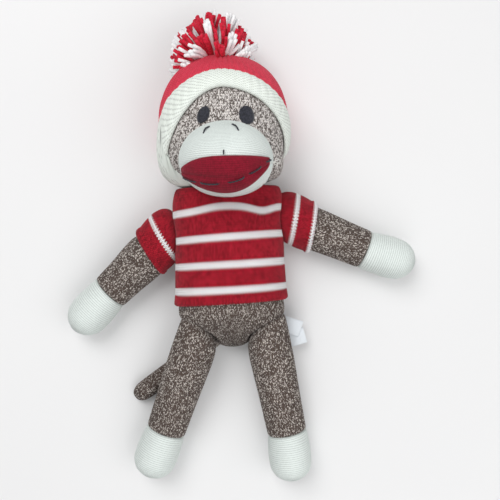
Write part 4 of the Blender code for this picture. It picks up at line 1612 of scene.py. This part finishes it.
    def sew(self, name: str, run: Sequence[Vector], thread: bpy.types.Material, node: str) -> None:
        """Make one stitch of two plies twisted round each other.

        Args:
            name: The stitch's name.
            run: The points that it follows.
            thread: Its finish.
            node: The node that it stands for, or nothing.
        """
        fine = smooth_run(run, 4)
        plies = []
        for phase in (0.0, pi):
            ply = []
            for index, point in enumerate(fine):
                after = fine[min(len(fine) - 1, index + 1)] - fine[max(0, index - 1)]
                side = after.normalized().cross(UP).normalized()
                up = side.cross(after.normalized())
                turn = phase + index * 0.55
                ply.append(point + (side * cos(turn) + up * sin(turn)) * 0.00022)
            plies.append(ply)
        stitch = thread_object(name, plies, 0.00029, [thread])
        if node:
            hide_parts(node)
        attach(stitch, "head")


def smooth_between(x: np.ndarray, places: Sequence[float], values: Sequence[float]) -> np.ndarray:
    """Read a smooth curve through values that are given at a few places.

    Args:
        x: Where to read it.
        places: The places in order.
        values: The values there.

    Returns:
        The values at x.
    """
    fit = np.polyfit(places, values, 4)
    return np.polyval(fit, x)


@dataclass
class Eyes:
    """The two embroidered eyes: satin stitches side by side over an oval."""

    rise: float = 0.039
    half_gap: float = 0.01275
    sizes: tuple[tuple[float, float], ...] = ((0.0037, 0.0047), (0.0044, 0.0053))

    def build(self, surface: HeadSurface, thread: bpy.types.Material) -> None:
        """Make the eyes.

        Args:
            surface: The head's front.
            thread: The black thread.
        """
        for side, (half_width, half_height) in zip(Side, self.sizes):
            middle = TORSO.neck + Vector((0.0003 + side.value * self.half_gap, self.rise, 0))
            runs = []
            count = 17
            for index in range(count):
                up = (index + 0.5) / count * 2 - 1
                reach = half_width * (1 - abs(up) ** 2.2) ** (1 / 2.2)
                run = []
                for share in np.linspace(-1, 1, 9):
                    x = middle.x + reach * share - side.value * 0.0007 * up
                    y = middle.y + half_height * up + 0.0004 * share
                    height = float(surface.height(np.array([x]), np.array([y]))[0])
                    crown = 0.0010 * (1 - share ** 4) * (1 - 0.35 * up * up)
                    run.append(Vector((x, y, height + crown - 0.0001)))
                runs.append(run)
            eye = thread_object("satin_eye_" + side.word, runs, half_height / count * 1.25, [thread], sides=2)
            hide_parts("eye_" + side.word)
            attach(eye, "head")


@dataclass
class Hat:
    """The ribbed crown, the rolled brim and the yarn pompom."""

    front: tuple[float, float] = (0.677, 0.94)
    back: tuple[float, float] = (0.116, 0.0)
    brim_start: float = -0.0012
    brim_width: float = 0.0120
    brim_wall: float = 0.0048
    lower_sags: tuple[float, float] = (0.0235, 0.0060)
    upper_sags: tuple[float, float] = (0.0100, 0.0050)
    crown_start: float = 0.0080
    crown_wall: float = 0.0036
    rib_wales: int = 96
    pompom_radius: float = 0.0300
    tufts: int = 84

    def plane(self, head: Head) -> tuple[np.ndarray, np.ndarray]:
        """A point and the normal of the brim's lower edge plane."""
        places = []
        for along, high in (self.front, self.back):
            place = TORSO.neck + Vector((head.shift, along * head.length, 0))
            place.z = head.base + high * head.depth
            places.append(place)
        normal = (places[0] - places[1]).normalized().cross(Vector((1, 0, 0)))
        return np.array(places[0]), np.array(normal)

    def edge_places(self, head: Head, form: SoftForm, angles: np.ndarray, offset: float,
                    sags: tuple[float, float]) -> np.ndarray:
        """Where each column of the head's form crosses an edge that sags over the cheeks.

        Args:
            head: The head's sizes.
            form: The head's form.
            angles: The columns' angles.
            offset: The edge's distance from the brim's plane over the forehead.
            sags: How far the edge hangs down at the right and the left cheek.

        Returns:
            The length along the form at which each column crosses it.
        """
        point, normal = self.plane(head)
        place = np.linspace(0.02, form.length, 400)
        columns = np.repeat(angles[None, :], len(place), axis=0)
        depth = (form.points(np.repeat(place[:, None], len(angles), axis=1), columns) - point) @ normal - offset
        cheek = np.where(np.cos(angles) < 0, sags[0], sags[1]) * np.abs(np.cos(angles)) ** 1.5
        depth += cheek * (0.35 + 0.65 * smooth_step(-0.5, 0.1, np.sin(angles)))
        found = []
        for column in range(len(angles)):
            index = int(np.argmax(depth[:, column] > 0))
            low, high = depth[max(index - 1, 0), column], depth[index, column]
            share = 0.0 if high == low else -low / (high - low)
            found.append(place[max(index - 1, 0)] + share * (place[1] - place[0]))
        return np.array(found)

    def build(self, head: Head, form: SoftForm, rib: bpy.types.Material, brim: bpy.types.Material,
              yarns: Sequence[bpy.types.Material]) -> None:
        """Make the hat.

        Args:
            head: The head's sizes.
            form: The head's form.
            rib: The crown's finish.
            brim: The brim's finish.
            yarns: The red and the white yarn.
        """
        gauge = HAT_RIB
        column = gauge.columns(self.rib_wales)
        angle = form.angles(np.array([form.length * 0.5]), column / self.rib_wales)[0]
        lower = self.edge_places(head, form, angle, self.brim_start, self.lower_sags)
        upper = self.edge_places(head, form, angle, self.brim_start + self.brim_width, self.upper_sags)
        start = self.edge_places(head, form, angle, self.crown_start, self.upper_sags)
        self.build_crown(form, gauge, column, angle, start, rib)
        self.build_brim(form, column, angle, lower, upper, brim)
        self.build_pompom(head, form, yarns, brim)

    def build_crown(self, form: SoftForm, gauge: Gauge, column: np.ndarray, angle: np.ndarray, start: np.ndarray,
                    material: bpy.types.Material) -> None:
        """Make the crown, whose ribs run from under the brim to the pole.

        Args:
            form: The head's form.
            gauge: The rib's gauge.
            column: The columns' stitch coordinates.
            angle: The columns' angles.
            start: Where each column starts.
            material: The finish.
        """
        rows = 84
        share = np.linspace(0.0, 1.0, rows)[:, None]
        across = np.repeat(column[None, :], rows, axis=0)
        course = np.repeat(share * rows / gauge.per_course, len(column), axis=1)
        along = start[None, :] + (form.length - start[None, :]) * share
        lean = (gauge.lean(across) - gauge.slant / 2) * gauge.course * smooth_step(0.0, 0.1, 1 - share)
        angles = np.repeat(angle[None, :], rows, axis=0)
        points = form.points(np.clip(along + lean, 0, form.length), angles)
        normals = surface_normals(points)
        normals[-1] = np.array((0, 1, 0))
        shown = smooth_step(0.0, 0.16, 1 - share) * smooth_step(0.02, 0.12, share)
        lift = self.crown_wall - 0.0004 + shown * gauge.height(across, course)
        outside = points + normals * lift[..., None]
        outside[-1] = outside[-1].mean(axis=0)
        inside = points[:8] + normals[:8] * 0.0012
        points = np.concatenate((inside[::-1], outside))
        points[:, -1] = points[:, 0]
        places = np.stack((across, course), axis=-1)
        points[..., 2] = np.maximum(points[..., 2], 0.0003)
        crown = grid_object("hat_crown_knit", points, np.concatenate((places[:8][::-1], places)), material)
        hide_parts("hat_crown")
        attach(crown, "hat")

    def build_brim(self, form: SoftForm, column: np.ndarray, angle: np.ndarray, lower: np.ndarray,
                   upper: np.ndarray, material: bpy.types.Material) -> None:
        """Make the brim: a plump roll of knit right round the head.

        Args:
            form: The head's form.
            column: The columns' stitch coordinates.
            angle: The columns' angles.
            lower: Where each column crosses the edge over the face.
            upper: Where each column crosses the edge under the crown.
            material: The finish.
        """
        gauge = BRIM_RIB
        rows = 41
        turn = np.linspace(0.0, tau, rows)[:, None]
        outer = np.clip(np.sin(turn), 0, 1)
        lift = 0.0009 + (self.brim_wall - 0.0009) * outer ** 0.62
        place = lower[None, :] + (upper - lower)[None, :] * (1 - np.cos(turn)) / 2
        points = form.points(place, np.repeat(angle[None, :], rows, axis=0))
        normals = form_normals(form, place, angle)
        across = np.repeat(column[None, :], rows, axis=0)
        course = np.repeat(turn / tau * 24, len(column), axis=1)
        relief = gauge.height(across, course) * smooth_step(0.05, 0.4, outer)
        points = points + normals * (lift + relief)[..., None]
        points[-1] = points[0]
        points[:, -1] = points[:, 0]
        points[..., 2] = np.maximum(points[..., 2], 0.0003)
        places = np.stack((across, course), axis=-1)
        brim = grid_object("hat_brim_knit", points, places, material)
        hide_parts("hat_brim")
        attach(brim, "hat")

    def build_pompom(self, head: Head, form: SoftForm, yarns: Sequence[bpy.types.Material],
                     brim: bpy.types.Material) -> None:
        """Make the pompom: cut yarn ends that spread from the tie on top of the crown.

        Args:
            head: The head's sizes.
            form: The head's form.
            yarns: The red and the white yarn.
            brim: The tie's finish.
        """
        rng = np.random.default_rng(11)
        centre = TORSO.neck + Vector((head.shift - 0.0072, head.length + 0.0025, 0))
        centre.z = self.pompom_radius - 0.0005
        crown = TORSO.neck + Vector((head.shift, head.length * 0.5, 0))
        crown.z = head.base + head.depth / 2
        inward = (crown - centre).normalized()
        root = centre + inward * 0.010
        runs, slots = [], []
        golden = pi * (3 - 5 ** 0.5)
        for index in range(self.tufts):
            height = 1 - 2 * (index + 0.5) / self.tufts
            ring = (1 - height * height) ** 0.5
            middle = Vector((ring * cos(index * golden), ring * sin(index * golden), height))
            if middle.dot(inward) > 0.42:
                continue
            white = (index + int(rng.random() < 0.2)) % 2 == 0
            length = self.pompom_radius * rng.uniform(0.92, 1.06 if white else 0.98)
            bend = Vector(rng.normal(0, 0.0016, 3))
            for _ in range(int(rng.integers(6, 10))):
                way = (middle + Vector(rng.normal(0, 0.10, 3))).normalized()
                start, end = root + way * 0.004, centre + way * (length * rng.uniform(0.93, 1.0))
                run = []
                for share in (0.0, 0.3, 0.55, 0.78, 1.0):
                    point = start.lerp(end, share) + bend * sin(pi * share)
                    point.z = max(point.z, 0.0014)
                    run.append(point)
                runs.append(run)
                slots.append(1 if white else 0)
        pompom = thread_object("pompom_yarn", runs, 0.0011, yarns, slots)
        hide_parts("pompom")
        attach(pompom, "hat")
        wraps = []
        for wrap in range(3):
            ring = []
            side = inward.cross(UP).normalized()
            up = side.cross(inward)
            for step in range(25):
                turn = tau * step / 24
                ring.append(root + inward * (0.002 * wrap) + (side * cos(turn) + up * sin(turn)) * 0.0042)
            wraps.append(ring)
        tie = thread_object("pompom_tie_yarn", wraps, 0.0009, [brim])
        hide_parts("pompom_tie")
        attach(tie, "hat")


def form_normals(form: SoftForm, place: np.ndarray, angle: np.ndarray) -> np.ndarray:
    """The outward normals of a form at any places on it.

    Args:
        form: The form.
        place: Lengths along it, for each row and column.
        angle: Angles round it, one for each column.

    Returns:
        A unit vector for each row and column.
    """
    angles = np.repeat(angle[None, :], len(place), axis=0)
    step = 0.0006
    along = form.points(place + step, angles) - form.points(place - step, angles)
    across = form.points(place, angles + 0.01) - form.points(place, angles - 0.01)
    normal = np.cross(along, across)
    return normal / (np.linalg.norm(normal, axis=-1, keepdims=True) + 1e-12)


@dataclass
class Studio:
    """The floor, the lights and the camera straight above the doll."""

    camera_place: tuple[float, float, float] = (0.0058, 0.0008, 0.397)
    camera_angle: float = radians(48.2)

    def build(self, material: bpy.types.Material) -> None:
        """Set the stage.

        Args:
            material: The floor's finish.
        """
        builder = bmesh.new()
        bmesh.ops.create_grid(builder, x_segments=24, y_segments=24, size=1.6)
        mesh = bpy.data.meshes.new("floor")
        builder.to_mesh(mesh)
        builder.free()
        show("floor", mesh, material)
        self.add_light("key", (-0.35, 0.55, 0.95), 0.7, 7.0)
        self.add_light("fill", (0.75, -0.25, 0.9), 0.9, 4.0)
        self.add_light("head_light", (0.1, -0.75, 0.8), 0.9, 3.0)
        camera = bpy.data.cameras.new("camera")
        camera.sensor_fit = "HORIZONTAL"
        camera.angle = self.camera_angle
        camera.clip_start = 0.01
        holder = bpy.data.objects.new("camera", camera)
        holder.location = self.camera_place
        scene = bpy.context.scene
        scene.collection.objects.link(holder)
        scene.camera = holder
        world = bpy.data.worlds.new("studio")
        world.use_nodes = True
        world.node_tree.nodes["Background"].inputs["Color"].default_value = (1.0, 1.0, 1.0, 1.0)
        world.node_tree.nodes["Background"].inputs["Strength"].default_value = 0.45
        scene.world = world
        scene.view_settings.view_transform = "Standard"

    def add_light(self, name: str, place: tuple[float, float, float], size: float, power: float) -> None:
        """Add a soft square lamp that faces the doll.

        Args:
            name: The lamp's name.
            place: Where it stands.
            size: The length of its sides.
            power: Its power in watts.
        """
        lamp = bpy.data.lights.new(name, "AREA")
        lamp.size = size
        lamp.energy = power
        holder = bpy.data.objects.new(name, lamp)
        holder.location = place
        holder.rotation_euler = (-Vector(place)).to_track_quat("-Z", "Y").to_euler()
        bpy.context.scene.collection.objects.link(holder)


def main() -> None:
    """Build the doll piece by piece."""
    logging.basicConfig(level=logging.INFO, format="%(name)s %(message)s")
    # The darker copy of the marl, with painted shade, goes on the body, limbs and tail.
    marl, cream = SHADED_MARL.material(), CREAM.material()
    black, white_thread = BLACK.material(), WHITE_THREAD.material()
    Studio().build(FLOOR.material())
    Trunk().build(marl, LABEL.material())
    Sweater().build()
    for side in Side:
        Arm(side).build(marl, cream)
        Leg(side).build(marl, cream)
    Tail().build(marl)
    head = Head()
    # The head takes the paler copy of the same marl, with painted light.
    form = head.build(LIT_MARL.material())
    surface = HeadSurface(form)
    Muzzle().build(surface, cream, LIP.material(), black, white_thread)
    Eyes().build(surface, black)
    Hat().build(head, form, HAT_RED.material(), BRIM.material(), (RED_YARN.material(), WHITE_YARN.material()))


if __name__ == "__main__":
    main()
